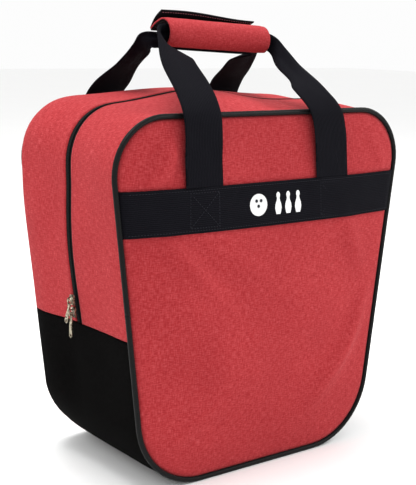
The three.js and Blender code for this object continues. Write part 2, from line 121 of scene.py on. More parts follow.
class Shader:
    """One node material with a Principled shader, and the few calls that fill it."""

    def __init__(self, name: str, **constants: float) -> None:
        """Makes the material.

        Args:
            name: the material's name.
            constants: Principled inputs that are the same all over, by name with _ for a space.
        """
        self.material = bpy.data.materials.new(name)
        self.material.use_nodes = True
        self.tree = self.material.node_tree
        self.surface = self.tree.nodes["Principled BSDF"]
        for key, value in constants.items():
            self.surface.inputs[key.replace("_", " ")].default_value = value

    def node(self, kind: str, settings: dict, *inputs: Feed | None, out: int = 0, **named: Feed) -> Val:
        """Adds any node.

        Args:
            kind: the node's type.
            settings: its properties, which are set first.
            inputs: values or links of its sockets, in order; None leaves one alone.
            out: which output is returned.
            named: values or links of sockets by name, with _ for a space.

        Returns:
            The output as a value.
        """
        made = self.tree.nodes.new(kind)
        for key, value in settings.items():
            setattr(made, key, value)
        pairs = [(made.inputs[i], v) for i, v in enumerate(inputs) if v is not None]
        pairs += [(made.inputs[k.replace("_", " ")], v) for k, v in named.items()]
        for socket, value in pairs:
            if isinstance(value, Val):
                self.tree.links.new(value.socket, socket)
            else:
                socket.default_value = value
        return Val(self, made.outputs[out])

    def place(self, source: str = "UV") -> Val:
        """The pattern coordinates: UV in metres along the cloth, or Object."""
        made = self.tree.nodes.new("ShaderNodeTexCoord")
        return Val(self, made.outputs[source])

    def scaled(self, where: Val, x: float, y: float, z: float = 1.0) -> Val:
        """Coordinates stretched by a factor on each axis."""
        return self.node("ShaderNodeMapping", {}, where, Scale=(x, y, z))

    def axis(self, where: Val, index: int) -> Val:
        """One number of a coordinate."""
        return self.node("ShaderNodeSeparateXYZ", {}, where, out=index)

    def noise(self, where: Val, scale: float, detail: float = 2.0, rough: float = 0.5) -> Val:
        """Soft noise from 0 to 1."""
        settings = {"normalize": True}
        return self.node("ShaderNodeTexNoise", settings, where, Scale=scale, Detail=detail, Roughness=rough)

    def mix(self, share: Feed, a: Feed, b: Feed) -> Val:
        """A colour between a and b.

        Args:
            share: how much of b there is, from 0 to 1.
            a, b: the two colours.

        Returns:
            The colour.
        """
        made = self.tree.nodes.new("ShaderNodeMix")
        made.data_type = "RGBA"
        for socket, value in ((made.inputs[0], share), (made.inputs[6], a), (made.inputs[7], b)):
            if isinstance(value, Val):
                self.tree.links.new(value.socket, socket)
            else:
                socket.default_value = value if not isinstance(value, tuple) else (*value, 1.0)
        return Val(self, made.outputs[2])

    def set(self, name: str, value: Val) -> None:
        """Feeds one of the Principled inputs."""
        self.tree.links.new(value.socket, self.surface.inputs[name])

    def bump(self, height: Val, distance: float, strength: float = 1.0) -> None:
        """Feeds a height in units of distance to the normal.

        Args:
            height: the raised pattern.
            distance: what a height of 1 stands for.
            strength: how strongly it tilts the surface.
        """
        made = self.node("ShaderNodeBump", {}, Height=height, Distance=distance, Strength=strength)
        self.set("Normal", made)


Colour = tuple[float, float, float]


@dataclass(frozen=True)
class Canvas:
    """A woven canvas: two thread colours that mix in short streaks, and a fine raised weave."""

    name: str
    light: Colour
    body: Colour
    dark: Colour
    heather: float
    pitch: float = 1.1 * MM
    roughness: float = 0.9
    sheen: float = 0.03
    shine: float = 0.08

    def make(self) -> bpy.types.Material:
        """Builds the canvas material.

        Returns:
            The material.
        """
        kit = Shader(self.name, Roughness=self.roughness, Sheen_Weight=self.sheen, Sheen_Roughness=0.5,
                     Specular_IOR_Level=self.shine)
        where = kit.place()
        weft = kit.noise(kit.scaled(where, 150.0, 980.0), 1.0, 2.0, 0.6)
        warp = kit.noise(kit.scaled(where, 920.0, 130.0), 1.0, 2.0, 0.6)
        cloud = kit.noise(where, 11.0, 2.0)
        pale = (weft.band(0.48, 0.66) * 0.7 + warp.band(0.48, 0.66) * 0.6) * self.heather
        deep = ((1 - weft.band(0.34, 0.50)) * 0.60 + (1 - warp.band(0.34, 0.50)) * 0.50) * self.heather
        base = kit.mix(pale.clip(), self.body, self.light)
        base = kit.mix(deep.clip(), base, self.dark)
        base = kit.mix(cloud.band(0.35, 0.75) * 0.24, base, self.dark)
        kit.set("Base Color", base)
        wave = TAU / self.pitch
        threads = (kit.axis(where, 0) * wave).sin() * (kit.axis(where, 1) * wave).sin()
        kit.bump(threads * 0.5 + (weft + warp) * 0.5, 0.00020, 0.7)
        return kit.material


@dataclass(frozen=True)
class Webbing:
    """Woven strap: raised ribs across its width, a bluish black yarn and a firm edge."""

    name: str
    body: Colour
    light: Colour
    rib: float = 2.1 * MM

    def make(self) -> bpy.types.Material:
        """Builds the strap material: u runs along the strap and v across it.

        Returns:
            The material.
        """
        kit = Shader(self.name, Roughness=0.75, Specular_IOR_Level=0.03)
        where = kit.place()
        u, v = kit.axis(where, 0), kit.axis(where, 1)
        ribs = (v * (TAU / self.rib)).sin()
        picks = (u * (TAU / (1.15 * MM)) + (v * (TAU / self.rib * 0.5)).sin() * 1.4).sin()
        lint = kit.noise(kit.scaled(where, 500.0, 900.0), 1.0, 3.0, 0.6)
        cloud = kit.noise(where, 30.0, 2.0)
        shade = (ribs * 0.22 + picks * 0.18 + lint * 0.7 + cloud * 0.25).clip()
        kit.set("Base Color", kit.mix(shade, self.body, self.light))
        kit.bump(ribs * 0.5 + picks * 0.35 + lint * 0.3, 0.00028, 0.85)
        return kit.material


@dataclass(frozen=True)
class Smooth:
    """A finely woven or plain satin finish, for piping, tape, binding and lining."""

    name: str
    body: Colour
    light: Colour
    roughness: float
    grain: float = 0.9 * MM
    shine: float = 0.05

    def make(self) -> bpy.types.Material:
        """Builds the finish, with a diagonal twill and a little lint.

        Returns:
            The material.
        """
        kit = Shader(self.name, Roughness=self.roughness, Specular_IOR_Level=self.shine)
        where = kit.place()
        u, v = kit.axis(where, 0), kit.axis(where, 1)
        twill = ((u + v) * (TAU / self.grain)).sin()
        lint = kit.noise(kit.scaled(where, 420.0, 420.0), 1.0, 3.0, 0.6)
        kit.set("Base Color", kit.mix((lint * 0.8 + twill * 0.12).clip(), self.body, self.light))
        kit.bump(twill * 0.5 + lint * 0.4, 0.00014, 0.7)
        return kit.material


@dataclass(frozen=True)
class Plated:
    """Antique plated metal: bright on the high spots, brown and duller in the hollows."""

    name: str
    bright: Colour
    dull: Colour

    def make(self) -> bpy.types.Material:
        """Builds the metal.

        Returns:
            The material.
        """
        kit = Shader(self.name, Metallic=1.0)
        where = kit.place("Object")
        wear = kit.noise(where, 330.0, 4.0, 0.65)
        fine = kit.noise(where, 1500.0, 2.0)
        share = wear.band(0.40, 0.64)
        kit.set("Base Color", kit.mix(share, self.dull, self.bright))
        kit.set("Roughness", (0.5 - share * 0.24 + fine * 0.08).clip())
        kit.bump(fine * 0.6 + wear * 0.5, 0.00006, 0.6)
        return kit.material


@dataclass(frozen=True)
class Foam:
    """Closed-cell foam or a plain pressed board, with a pebbled skin."""

    name: str
    body: Colour
    light: Colour
    scale: float = 900.0

    def make(self) -> bpy.types.Material:
        """Builds the foam.

        Returns:
            The material.
        """
        kit = Shader(self.name, Roughness=0.9)
        where = kit.place("Object")
        cells = kit.node("ShaderNodeTexVoronoi", {}, where, Scale=self.scale)
        cloud = kit.noise(where, 40.0, 3.0)
        kit.set("Base Color", kit.mix((cells * 0.6 + cloud * 0.4).clip(), self.body, self.light))
        kit.bump(cells, 0.0003, 0.6)
        return kit.material


Look = Canvas | Webbing | Smooth | Plated | Foam


class Finish(Enum):
    """The bag's finishes, by the frame's slot names."""

    RED_CANVAS = "red_canvas"
    BLACK_CANVAS = "black_canvas"
    BLACK_WEBBING = "black_webbing"
    BLACK_PIPING = "black_piping"
    BLACK_LINING = "black_lining"
    BLACK_ZIP = "black_zip"
    ANTIQUE_NICKEL = "antique_nickel"
    BLACK_BOARD = "black_board"
    GREY_FOAM = "grey_foam"


LOOKS = {
    Finish.RED_CANVAS: Canvas("red_canvas", (0.57, 0.092, 0.101), (0.365, 0.027, 0.031),
                              (0.215, 0.010, 0.014), 0.52),
    Finish.BLACK_CANVAS: Canvas("black_canvas", (0.0052, 0.0048, 0.0046), (0.0014, 0.0013, 0.0012),
                                (0.0006, 0.0006, 0.0006), 0.7, sheen=0.0, shine=0.02),
    Finish.BLACK_WEBBING: Webbing("black_webbing", (0.0012, 0.0012, 0.0020), (0.0100, 0.0096, 0.0135)),
    Finish.BLACK_PIPING: Smooth("black_piping", (0.0025, 0.0026, 0.0026), (0.0100, 0.0105, 0.0105), 0.42,
                                shine=0.09),
    Finish.BLACK_LINING: Smooth("black_lining", (0.004, 0.004, 0.0045), (0.014, 0.013, 0.015), 0.85),
    Finish.BLACK_ZIP: Smooth("black_zip", (0.004, 0.005, 0.005), (0.013, 0.016, 0.016), 0.6),
    Finish.ANTIQUE_NICKEL: Plated("antique_nickel", (0.60, 0.54, 0.40), (0.045, 0.032, 0.020)),
    Finish.BLACK_BOARD: Foam("black_board", (0.016, 0.016, 0.017), (0.028, 0.028, 0.03), 1600.0),
    Finish.GREY_FOAM: Foam("grey_foam", (0.07, 0.07, 0.078), (0.12, 0.12, 0.13)),
}


class Wardrobe:
    """Makes each material once and dresses pieces in it."""

    def __init__(self) -> None:
        """Starts with nothing made."""
        self.made: dict[str, bpy.types.Material] = {}

    def get(self, look: Look) -> bpy.types.Material:
        """The material of a finish, made on first use."""
        if look.name not in self.made:
            self.made[look.name] = look.make()
        return self.made[look.name]

    def dress(self, piece: bpy.types.Object, finish: Finish, look: Look | None = None) -> bpy.types.Object:
        """Gives a piece its material: the usual one of its slot, or another look.

        Args:
            piece: the piece.
            finish: its slot.
            look: a finish to show instead of the usual one.

        Returns:
            The piece.
        """
        piece.data.materials.clear()
        piece.data.materials.append(self.get(look or LOOKS[finish]))
        return piece


WARDROBE = Wardrobe()
THREAD_RED = Smooth("red_thread", (0.25, 0.015, 0.02), (0.45, 0.05, 0.06), 0.6)
THREAD_BLACK = Smooth("black_thread", (0.010, 0.010, 0.014), (0.034, 0.034, 0.042), 0.5)
THREAD_PINK = Smooth("pink_thread", (0.34, 0.12, 0.15), (0.5, 0.22, 0.26), 0.6)
PRINT_WHITE = Smooth("white_print", (0.78, 0.78, 0.78), (0.86, 0.86, 0.86), 0.6)


# ---------------------------------------------------------------- mesh making


def finish_mesh(shape: bmesh.types.BMesh, name: str, smooth: bool = True) -> bpy.types.Object:
    """Turns a bmesh into a linked object at the origin.

    Args:
        shape: the mesh, which is freed.
        name: the piece's name.
        smooth: whether its faces are shaded smooth.

    Returns:
        The object.
    """
    mesh = bpy.data.meshes.new(name)
    for face in shape.faces:
        face.smooth = smooth
    shape.to_mesh(mesh)
    shape.free()
    piece = bpy.data.objects.new(name, mesh)
    bpy.context.scene.collection.objects.link(piece)
    LOG.info("%s: %d faces", name, len(mesh.polygons))
    return piece


def cloth_grid(u_steps: int, v_steps: int, place: Place, lengths: tuple[float, float]) -> bmesh.types.BMesh:
    """A grid laid on a surface, with UVs in metres.

    Args:
        u_steps: faces along the surface.
        v_steps: faces across it.
        place: where the point at u, v from 0 to 1 lies.
        lengths: the cloth's length along u and along v, for the UVs.

    Returns:
        The mesh, one face thick.
    """
    shape = bmesh.new()
    bmesh.ops.create_grid(shape, x_segments=u_steps, y_segments=v_steps, size=0.5, calc_uvs=True)
    layer = shape.loops.layers.uv.verify()
    for face in shape.faces:
        for loop in face.loops:
            co = loop.vert.co
            loop[layer].uv = ((co.x + 0.5) * lengths[0], (co.y + 0.5) * lengths[1])
    for vert in shape.verts:
        vert.co = place(vert.co.x + 0.5, vert.co.y + 0.5)
    return shape


def thicken(shape: bmesh.types.BMesh, wall: float, outward: Vector | Callable[[Vector], Vector]) -> None:
    """Gives a one-face-thick cloth its wall, on the inside.

    Args:
        shape: the cloth.
        wall: its thickness.
        outward: the way out of the bag, or a call that gives it at a point.
    """
    shape.normal_update()
    face = max(shape.faces, key=lambda f: f.calc_area())
    out = outward(face.calc_center_median()) if callable(outward) else outward
    if face.normal.dot(out) < 0:
        bmesh.ops.reverse_faces(shape, faces=shape.faces)
        shape.normal_update()
    bmesh.ops.solidify(shape, geom=shape.faces[:], thickness=wall)
    bmesh.ops.recalc_face_normals(shape, faces=shape.faces)


def smoothstep(low: float, high: float, value: float) -> float:
    """0 below low, 1 above high, and a smooth rise between them."""
    t = min(1.0, max(0.0, (value - low) / (high - low)))
    return t * t * (3 - 2 * t)


def mix(a: float, b: float, t: float) -> float:
    """The value at t between a and b."""
    return a + (b - a) * t


def marks_along(points: Sequence[Vector]) -> list[float]:
    """The distance along a line of points at each of them."""
    return list(accumulate(((b - a).length for a, b in zip(points, points[1:])), initial=0.0))


# ---------------------------------------------------------------- the seam outline


@dataclass(frozen=True)
class RimPoint:
    """A point of the seam outline with its outward direction, both in the XZ plane."""

    x: float
    z: float
    nx: float
    nz: float

    def out(self, offset: float) -> tuple[float, float]:
        """The point moved outwards."""
        return self.x + self.nx * offset, self.z + self.nz * offset


@dataclass(frozen=True)
class SeamOutline:
    """A trapezoid with round corners, which both seams follow."""

    base_z: float = 3 * MM
    top_z: float = 420 * MM
    base_half: float = 164 * MM
    top_half: float = 213.6 * MM
    top_radius: float = 61 * MM
    base_radius: float = 87 * MM

    @property
    def slope(self) -> float:
        """How far the sides lean out for each metre of height."""
        return (self.top_half - self.base_half) / (self.top_z - self.base_z)

    @property
    def middle_z(self) -> float:
        """Halfway up."""
        return (self.base_z + self.top_z) / 2

    @property
    def tilt(self) -> float:
        """The sides' angle from the vertical."""
        return math.atan(self.slope)

    def half_width(self, z: float) -> float:
        """Half the width at a height, on the straight sides."""
        return self.base_half + self.slope * (z - self.base_z)

    def side(self, sign: int, z: float) -> RimPoint:
        """The point of a straight side at a height: -1 is the left."""
        return RimPoint(sign * self.half_width(z), z, sign * math.cos(self.tilt), -math.sin(self.tilt))

    def corner(self, sign: int, top: bool, steps: int = 14) -> list[RimPoint]:
        """A round corner, from its side to the flat top or base.

        Args:
            sign: -1 for the left and 1 for the right.
            top: whether it is an upper corner.
            steps: how many pieces the arc has.

        Returns:
            Its points.
        """
        radius = self.top_radius if top else self.base_radius
        z = self.top_z - radius if top else self.base_z + radius
        x = self.half_width(z) - radius / math.cos(self.tilt)
        end = math.pi / 2 if top else -math.pi / 2
        points = []
        for i in range(steps + 1):
            angle = mix(-self.tilt, end, i / steps)
            nx, nz = math.cos(angle), math.sin(angle)
            points.append(RimPoint(sign * (x + radius * nx), z + radius * nz, sign * nx, nz))
        return points

    def upper(self, z: float) -> list[RimPoint]:
        """From the left side at a height, over the top, to the right side."""
        return [self.side(-1, z), *self.corner(-1, True), *self.corner(1, True)[::-1], self.side(1, z)]

    def lower(self, z: float) -> list[RimPoint]:
        """From the right side at a height, under the base, to the left side."""
        return [self.side(1, z), *self.corner(1, False), *self.corner(-1, False)[::-1], self.side(-1, z)]

    def whole(self) -> list[RimPoint]:
        """The closed outline, clockwise seen from the front, ending where it starts."""
        return [*self.upper(self.middle_z), *self.lower(self.middle_z)]


class Route:
    """A path of rim points that can be read at any share of its length."""

    def __init__(self, points: Sequence[RimPoint]) -> None:
        """Measures the path."""
        self.points = list(points)
        steps = (math.hypot(b.x - a.x, b.z - a.z) for a, b in zip(self.points, self.points[1:]))
        self.marks = list(accumulate(steps, initial=0.0))
        self.length = self.marks[-1]

    def at(self, share: float) -> RimPoint:
        """The point at a share of the path's length, from 0 to 1.

        Args:
            share: how far along the path.

        Returns:
            The point with its direction.
        """
        target = min(max(share, 0.0), 1.0) * self.length
        high = min(bisect_right(self.marks, target), len(self.marks) - 1)
        low = high - 1
        a, b = self.points[low], self.points[high]
        span = self.marks[high] - self.marks[low]
        t = (target - self.marks[low]) / span if span > 0 else 0.0
        nx, nz = mix(a.nx, b.nx, t), mix(a.nz, b.nz, t)
        size = math.hypot(nx, nz)
        return RimPoint(mix(a.x, b.x, t), mix(a.z, b.z, t), nx / size, nz / size)


class Rim(Route):
    """A closed path round a panel, which a square's edge can be laid along."""

    def __init__(self, points: Sequence[RimPoint], middle: float) -> None:
        """Finds the corners and the direction of each point from the middle."""
        super().__init__(points)
        self.middle = middle
        found = [self.corner_share(sx, sz) for sx, sz in ((-1, -1), (-1, 1), (1, 1), (1, -1))]
        self.stops = [found[0] - 1.0, *found[1:], found[0]]
        self.edges = []
        for p, q in zip(self.points, self.points[1:]):
            across, up = q.x - p.x, q.z - p.z
            size = p.x * up - (p.z - middle) * across
            if abs(size) > 1e-9:
                self.edges.append((up / size, -across / size))

    def corner_share(self, side_x: int, side_z: int) -> float:
        """The share of the path at which it runs furthest into a corner."""
        best = max(range(len(self.points)),
                   key=lambda i: side_x * self.points[i].nx + side_z * self.points[i].nz)
        return self.marks[best] / self.length

    def on_square(self, a: float, b: float) -> tuple[float, float]:
        """The rim point for a point of the edge of a square from -1 to 1.

        Args:
            a: across, to the right.
            b: upwards.

        Returns:
            x and z of the rim.
        """
        if abs(a) >= abs(b):
            side = 0 if a < 0 else 2
        else:
            side = 1 if b > 0 else 3
        along = ((b, a, -b, -a)[side] + 1) / 2
        point = self.at(mix(self.stops[side], self.stops[side + 1], along) % 1.0)
        return point.x, point.z

    def reach(self, x: float, z: float) -> float:
        """How far a point lies from the middle towards the rim, from 0 to 1 at the rim."""
        return max(x * across + (z - self.middle) * up for across, up in self.edges)


OUTLINE = SeamOutline()
SEAM_Y = 103.3 * MM
GUSSET_EDGE_Y = 100 * MM
REAR_TUCK = 3.2 * MM
REAR_DROP = 1.8 * MM
LEG_X = (-0.098, 0.090)
SPLIT_Z = 179 * MM
CREASE_GAIN = 1.7
SIDE_BODY = {-1: None, 1: "root"}


def move_with(piece: bpy.types.Object, body: str | None) -> None:
    """Rides a piece on a body or, with None, bakes its placing into its mesh and leaves it on no body."""
    if body is None:
        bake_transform(piece)
    else:
        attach(piece, body)


def half_turn(shape: bmesh.types.BMesh) -> None:
    """Turns a front piece round the vertical, to the rear."""
    bmesh.ops.rotate(shape, verts=shape.verts, cent=(0, 0, 0), matrix=Matrix.Rotation(math.pi, 3, "Z"))


def assign(piece: bpy.types.Object, nodes: Sequence[str], body: str | None,
           fill: float | None = None) -> None:
    """Says which nodes a piece stands for, how it is filled and what moves it.

    Args:
        piece: the finished piece.
        nodes: the frame's nodes that it replaces.
        body: the body that it rides on, or None to bake it in place on no body.
        fill: not used.
    """
    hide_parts(*nodes)
    move_with(piece, body)


# ---------------------------------------------------------------- panels and band


@dataclass(frozen=True)
class Crease:
    """A soft fold across a panel: a ridge with a hollow beside it, fading at both ends."""

    x: float
    z: float
    angle: float
    length: float
    width: float
    depth: float

    def rise(self, x: float, z: float) -> float:
        """How far the fold lifts the cloth at a point, with the gain that all folds share.

        Args:
            x, z: the point on the panel.

        Returns:
            The lift in metres.
        """
        c, s = math.cos(self.angle), math.sin(self.angle)
        along = ((x - self.x) * c + (z - self.z) * s) / self.length
        across = (-(x - self.x) * s + (z - self.z) * c) / self.width
        fade = CREASE_GAIN * self.depth * math.exp(-along * along * 2)
        return fade * (1 - across * across) * math.exp(-across * across)


@dataclass
class Panels:
    """The front and rear domed panels, their linings and their webbing bands."""

    rim_y: float = 104.8 * MM
    inset: float = 2.2 * MM
    dome_inset: float = 3.4 * MM
    bulge: float = 15 * MM
    wall: float = 4 * MM
    band_end: float = 2.3 * MM
    band_dip: float = 2.9 * MM
    lining_inset: float = 4.6 * MM
    steps: int = 88
    creases: tuple[Crease, ...] = (
        Crease(-0.150, 0.372, 0.95, 0.075, 0.016, 0.0030),
        Crease(-0.118, 0.392, 0.80, 0.060, 0.012, 0.0022),
        Crease(-0.122, 0.262, -0.85, 0.075, 0.014, 0.0026),
        Crease(-0.092, 0.236, -0.80, 0.070, 0.013, 0.0020),
        Crease(-0.035, 0.246, -0.55, 0.080, 0.015, 0.0014),
        Crease(0.118, 0.118, 0.85, 0.085, 0.016, 0.0026),
        Crease(0.142, 0.160, 1.05, 0.070, 0.014, 0.0020),
        Crease(0.128, 0.270, -1.10, 0.070, 0.016, 0.0018),
        Crease(-0.120, 0.062, 0.50, 0.060, 0.014, 0.0018),
        Crease(0.020, 0.160, 0.20, 0.110, 0.030, 0.0016),
        Crease(0.172, 0.372, -1.00, 0.050, 0.012, 0.0016),
        Crease(-0.125, 0.235, -1.00, 0.110, 0.034, 0.0022),
        Crease(-0.060, 0.150, -0.75, 0.130, 0.040, 0.0016),
        Crease(0.110, 0.110, 0.80, 0.110, 0.034, 0.0018),
    )
    rims: dict[float, Rim] = field(default_factory=dict)

    def rim(self, inset: float) -> Rim:
        """The closed rim at an inset from the outline."""
        if inset not in self.rims:
            moved = [RimPoint(*p.out(-inset), p.nx, p.nz) for p in OUTLINE.whole()]
            self.rims[inset] = Rim(moved, OUTLINE.middle_z)
        return self.rims[inset]

    def height(self, x: float, z: float) -> float:
        """How far the outer face stands beyond its rim, without creases."""
        reach = min(1.0, self.rim(self.dome_inset).reach(x, z))
        return self.bulge * (1 - reach**2)

    def relief(self, x: float, z: float) -> float:
        """The creases and a faint unevenness, which the band and the handle legs hold flatter.

        Args:
            x, z: the point on the panel.

        Returns:
            The lift in metres.
        """
        total = sum(c.rise(x, z) for c in self.creases)
        total += 0.0011 * noise.noise(Vector((x * 9, 3.1, z * 9)))
        held = 0.65 * smoothstep(0.280, 0.296, z) * (1 - smoothstep(0.342, 0.358, z))
        under_leg = max(1 - smoothstep(0.027, 0.042, abs(x - leg_x)) for leg_x in LEG_X)
        return total * (1 - max(held, 0.85 * under_leg * smoothstep(0.330, 0.350, z)))

    def front_y(self, x: float, z: float) -> float:
        """The front panel's outer face, without creases, as a positive distance."""
        return self.rim_y + self.height(x, z)

    def sheet(self, inset: float, drop: float, creased: bool) -> Place:
        """A call that lays a square grid on the panel: the square's rings follow the rim.

        Args:
            inset: how far the rim lies inside the seam outline.
            drop: how far the layer lies behind the outer face.
            creased: whether the creases show.

        Returns:
            The call.
        """
        rim = self.rim(inset)
        middle = OUTLINE.middle_z

        def place(u: float, v: float) -> Vector:
            """The surface's point at u and v."""
            a, b = 2 * u - 1, 2 * v - 1
            ring = max(abs(a), abs(b), 1e-9)
            edge_x, edge_z = rim.on_square(a / ring, b / ring)
            x, z = edge_x * ring, middle + (edge_z - middle) * ring
            edge = smoothstep(0.0, 0.16, 1 - ring)
            rise = self.height(x, z) + (self.relief(x, z) * edge if creased else 0.0)
            roll = 2.2 * MM * (1 - smoothstep(0.0, 0.03, 1 - ring))
            return Vector((x, -(self.rim_y + rise - roll) + drop, z))

        return place

    def panel(self, name: str, finish: Finish, rear: bool, inset: float, drop: float, wall: float,
              creased: bool = True) -> bpy.types.Object:
        """One domed panel or lining.

        Args:
            name: the piece's name.
            finish: its slot.
            rear: whether it is turned round to the rear.
            inset, drop, creased: as for sheet.
            wall: its thickness.

        Returns:
            The dressed piece.
        """
        steps = self.steps if creased else self.steps // 2
        shape = cloth_grid(steps, steps, self.sheet(inset, drop, creased), (0.42, 0.42))
        layer = shape.loops.layers.uv.verify()
        for face in shape.faces:
            for loop in face.loops:
                loop[layer].uv = (loop.vert.co.x + 0.3, loop.vert.co.z)
        thicken(shape, wall, Vector((0, -1, 0)))
        if rear:
            half_turn(shape)
        return WARDROBE.dress(finish_mesh(shape, name), finish)

    def band(self, name: str, rear: bool) -> bpy.types.Object:
        """The webbing band across a panel, with a slightly raised edge.

        Args:
            name: the piece's name.
            rear: whether it is turned round to the rear.

        Returns:
            The dressed piece.
        """
        low, high = (v.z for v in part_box("front_band"))
        lift, wall = 1.0 * MM, 1.9 * MM

        def place(u: float, v: float) -> Vector:
            """The surface's point at u and v."""
            z = mix(low, high, v)
            x = (2 * u - 1) * (OUTLINE.half_width(z) - self.band_end - (REAR_TUCK if rear else 0.0))
            sag = 0.0007 * noise.noise(Vector((x * 22, 1.0, z * 8)))
            edge = 0.35 * MM * (smoothstep(0.9, 1.0, abs(2 * v - 1)))
            edge += self.band_dip * smoothstep(0.962, 1.0, abs(2 * u - 1))
            y = self.front_y(x, z) + self.relief(x, z) + lift + wall + sag - edge
            y -= REAR_DROP if rear else 0.0
            return Vector((x, -y, z))

        shape = cloth_grid(96, 12, place, (0.4, high - low))
        thicken(shape, wall, Vector((0, -1, 0)))
        if rear:
            half_turn(shape)
        return WARDROBE.dress(finish_mesh(shape, name), Finish.BLACK_WEBBING)

    def build(self) -> None:
        """Makes both panels, both linings and both bands."""
        red, lining = Finish.RED_CANVAS, Finish.BLACK_LINING
        rear_inset, lining_inset = self.inset + REAR_TUCK, REAR_TUCK + self.lining_inset
        for name, finish, rear, inset, drop, wall, creased, nodes, fill in (
            ("front_panel", red, False, self.inset, 0.0, self.wall, True,
             ("front_panel_upper", "front_panel_lower"), 0.5),
            ("rear_panel_cloth", red, True, rear_inset, 2.0 * MM, self.wall, True, ("rear_panel",), 0.5),
            ("front_lining", lining, False, self.lining_inset, 5.0 * MM, 1.0 * MM, False,
             ("front_lining_upper", "front_lining_lower"), 0.2),
            ("rear_lining_cloth", lining, True, lining_inset, 7.0 * MM, 1.0 * MM, False,
             ("rear_lining",), 0.2),
        ):
            piece = self.panel(name, finish, rear, inset, drop, wall, creased)
            assign(piece, nodes, "root" if rear else None, fill)
        for side, node, body in (("front", "front_band", "front_half"), ("rear", "rear_band", "root")):
            band = self.band(f"{side}_band_webbing", side == "rear")
            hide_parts(node)
            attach(band, body)


# ---------------------------------------------------------------- gusset, piping and zip


@dataclass
class Gusset:
    """The cloth between the seams: red above, black round the base, crowned between its edges."""

    wall: float = 3 * MM
    side_crown: float = 2.5 * MM
    roll_from: float = 87 * MM
    rear_fill: float = 8.5 * MM
    base_crown: float = 3.3 * MM
    top_edge: float = 7 * MM
    top_peak: float = 15 * MM
    peak_x: float = -30 * MM
    peak_spread: float = 85 * MM
    zip_half: float = 6.4 * MM
    hollow: float = 3.5 * MM
    hollow_z: float = 0.362
    hollow_spread: float = 0.032
    fill_from: float = 0.012
    fill_to: float = 0.080

    def crown(self, p: RimPoint) -> tuple[float, float]:
        """How far the cloth stands out halfway between the seams, and how far down it faces.

        Args:
            p: the outline's point.

        Returns:
            The height in metres, and 0 to 1 for facing down.
        """
        tilt = math.sin(OUTLINE.tilt)
        up, down = max(0.0, p.nz), max(0.0, -p.nz - tilt) / (1 - tilt)
        hump = self.top_peak * math.exp(-(((p.x - self.peak_x) / self.peak_spread) ** 2))
        top = self.top_edge + hump
        side = self.side_crown
        return side + (top - side) * up + (self.base_crown - side) * down, down

    def offset(self, p: RimPoint, y: float) -> float:
        """The cloth's outer offset from the outline at a distance y from its middle.

        Args:
            p: the outline's point.
            y: the distance, positive to the rear.

        Returns:
            The offset in metres.
        """
        depth, down = self.crown(p)
        across = min(1.0, max(0.0, (y - self.roll_from) / (GUSSET_EDGE_Y - self.roll_from)))
        hollow = self.hollow * math.exp(-(((p.z - self.hollow_z) / self.hollow_spread) ** 2))
        fill = (self.rear_fill - hollow) * (1 - min(1.0, 1.6 * down))
        tuck = (fill + REAR_TUCK) * (1 - math.sqrt(1 - across**2))
        puff = fill * smoothstep(self.fill_from, self.fill_to, y) - tuck
        return depth * (1 - min(1.0, abs(y / GUSSET_EDGE_Y)) ** (2 + 10 * down)) + puff

    def relief(self, p: RimPoint, y: float) -> float:
        """Soft dents and a faint unevenness, none of it on the base or at the seams.

        Args:
            p: the outline's point.
            y: the distance from the middle.

        Returns:
            The lift in metres.
        """
        quiet = 1 - max(0.0, -p.nz - 0.15)
        edge = smoothstep(0.0, 0.02, GUSSET_EDGE_Y - abs(y))
        shape = 0.0014 * noise.noise(Vector((p.x * 10, y * 14, p.z * 10)))
        for x, py, z, size, depth in DENTS:
            gap = ((p.x - x) ** 2 + (y - py) ** 2 + (p.z - z) ** 2) / size**2
            shape += depth * math.exp(-gap)
        return shape * quiet * edge

    def place(self, route: Route, y_from: float, y_to: float, drop: float = 0.0,
              uneven: bool = True) -> Place:
        """A call that lays a grid on the gusset: u along the outline and v from front to rear.

        Args:
            route: the stretch of outline.
            y_from, y_to: where v starts and ends.
            drop: how far the layer lies under the cloth.
            uneven: whether it has the dents.

        Returns:
            The call.
        """

        def put(u: float, v: float) -> Vector:
            """The surface's point at u and v."""
            p = route.at(u)
            y = mix(y_from, y_to, v)
            lift = self.offset(p, y) - drop + (self.relief(p, y) if uneven else 0.0)
            x, z = p.out(lift)
            return Vector((x, y, max(z, 0.0)))

        return put

    def strip(self, name: str, route: Route, ys: tuple[float, float], finish: Finish, steps: tuple[int, int],
              wall: float, drop: float = 0.0, uneven: bool = True) -> bpy.types.Object:
        """One strip of the gusset with its wall.

        Args:
            name: the piece's name.
            route: the stretch of outline.
            ys: its front and rear edge.
            finish: its slot.
            steps: faces along and across it.
            wall: its thickness.
            drop, uneven: as for place.

        Returns:
            The dressed piece.
        """
        shape = cloth_grid(*steps, self.place(route, *ys, drop, uneven), (route.length, ys[1] - ys[0]))
        middle = Vector((0, 0, 0.2))
        thicken(shape, wall, lambda at: Vector((at.x, 0, at.z)) - middle)
        return WARDROBE.dress(finish_mesh(shape, name), finish)

    def build(self) -> None:
        """Makes the red halves and the black base."""
        seam_z = SPLIT_Z - 1 * MM
        upper, lower = Route(OUTLINE.upper(seam_z + 1.2 * MM)), Route(OUTLINE.lower(seam_z))
        edge = GUSSET_EDGE_Y + 1.0 * MM
        red, black = Finish.RED_CANVAS, Finish.BLACK_CANVAS
        for name, route, ys, finish, steps, node, body in (
            ("front_gusset_cloth", upper, (-edge, -self.zip_half), red, (220, 24), "front_gusset_red", None),
            ("rear_gusset_cloth", upper, (self.zip_half, edge), red, (220, 24), "rear_gusset_red", "root"),
            ("base_gusset_cloth", lower, (-edge, edge), black, (180, 48), "base_gusset_black", "root"),
        ):
            assign(self.strip(name, route, ys, finish, steps, self.wall), (node,), body, 0.4)


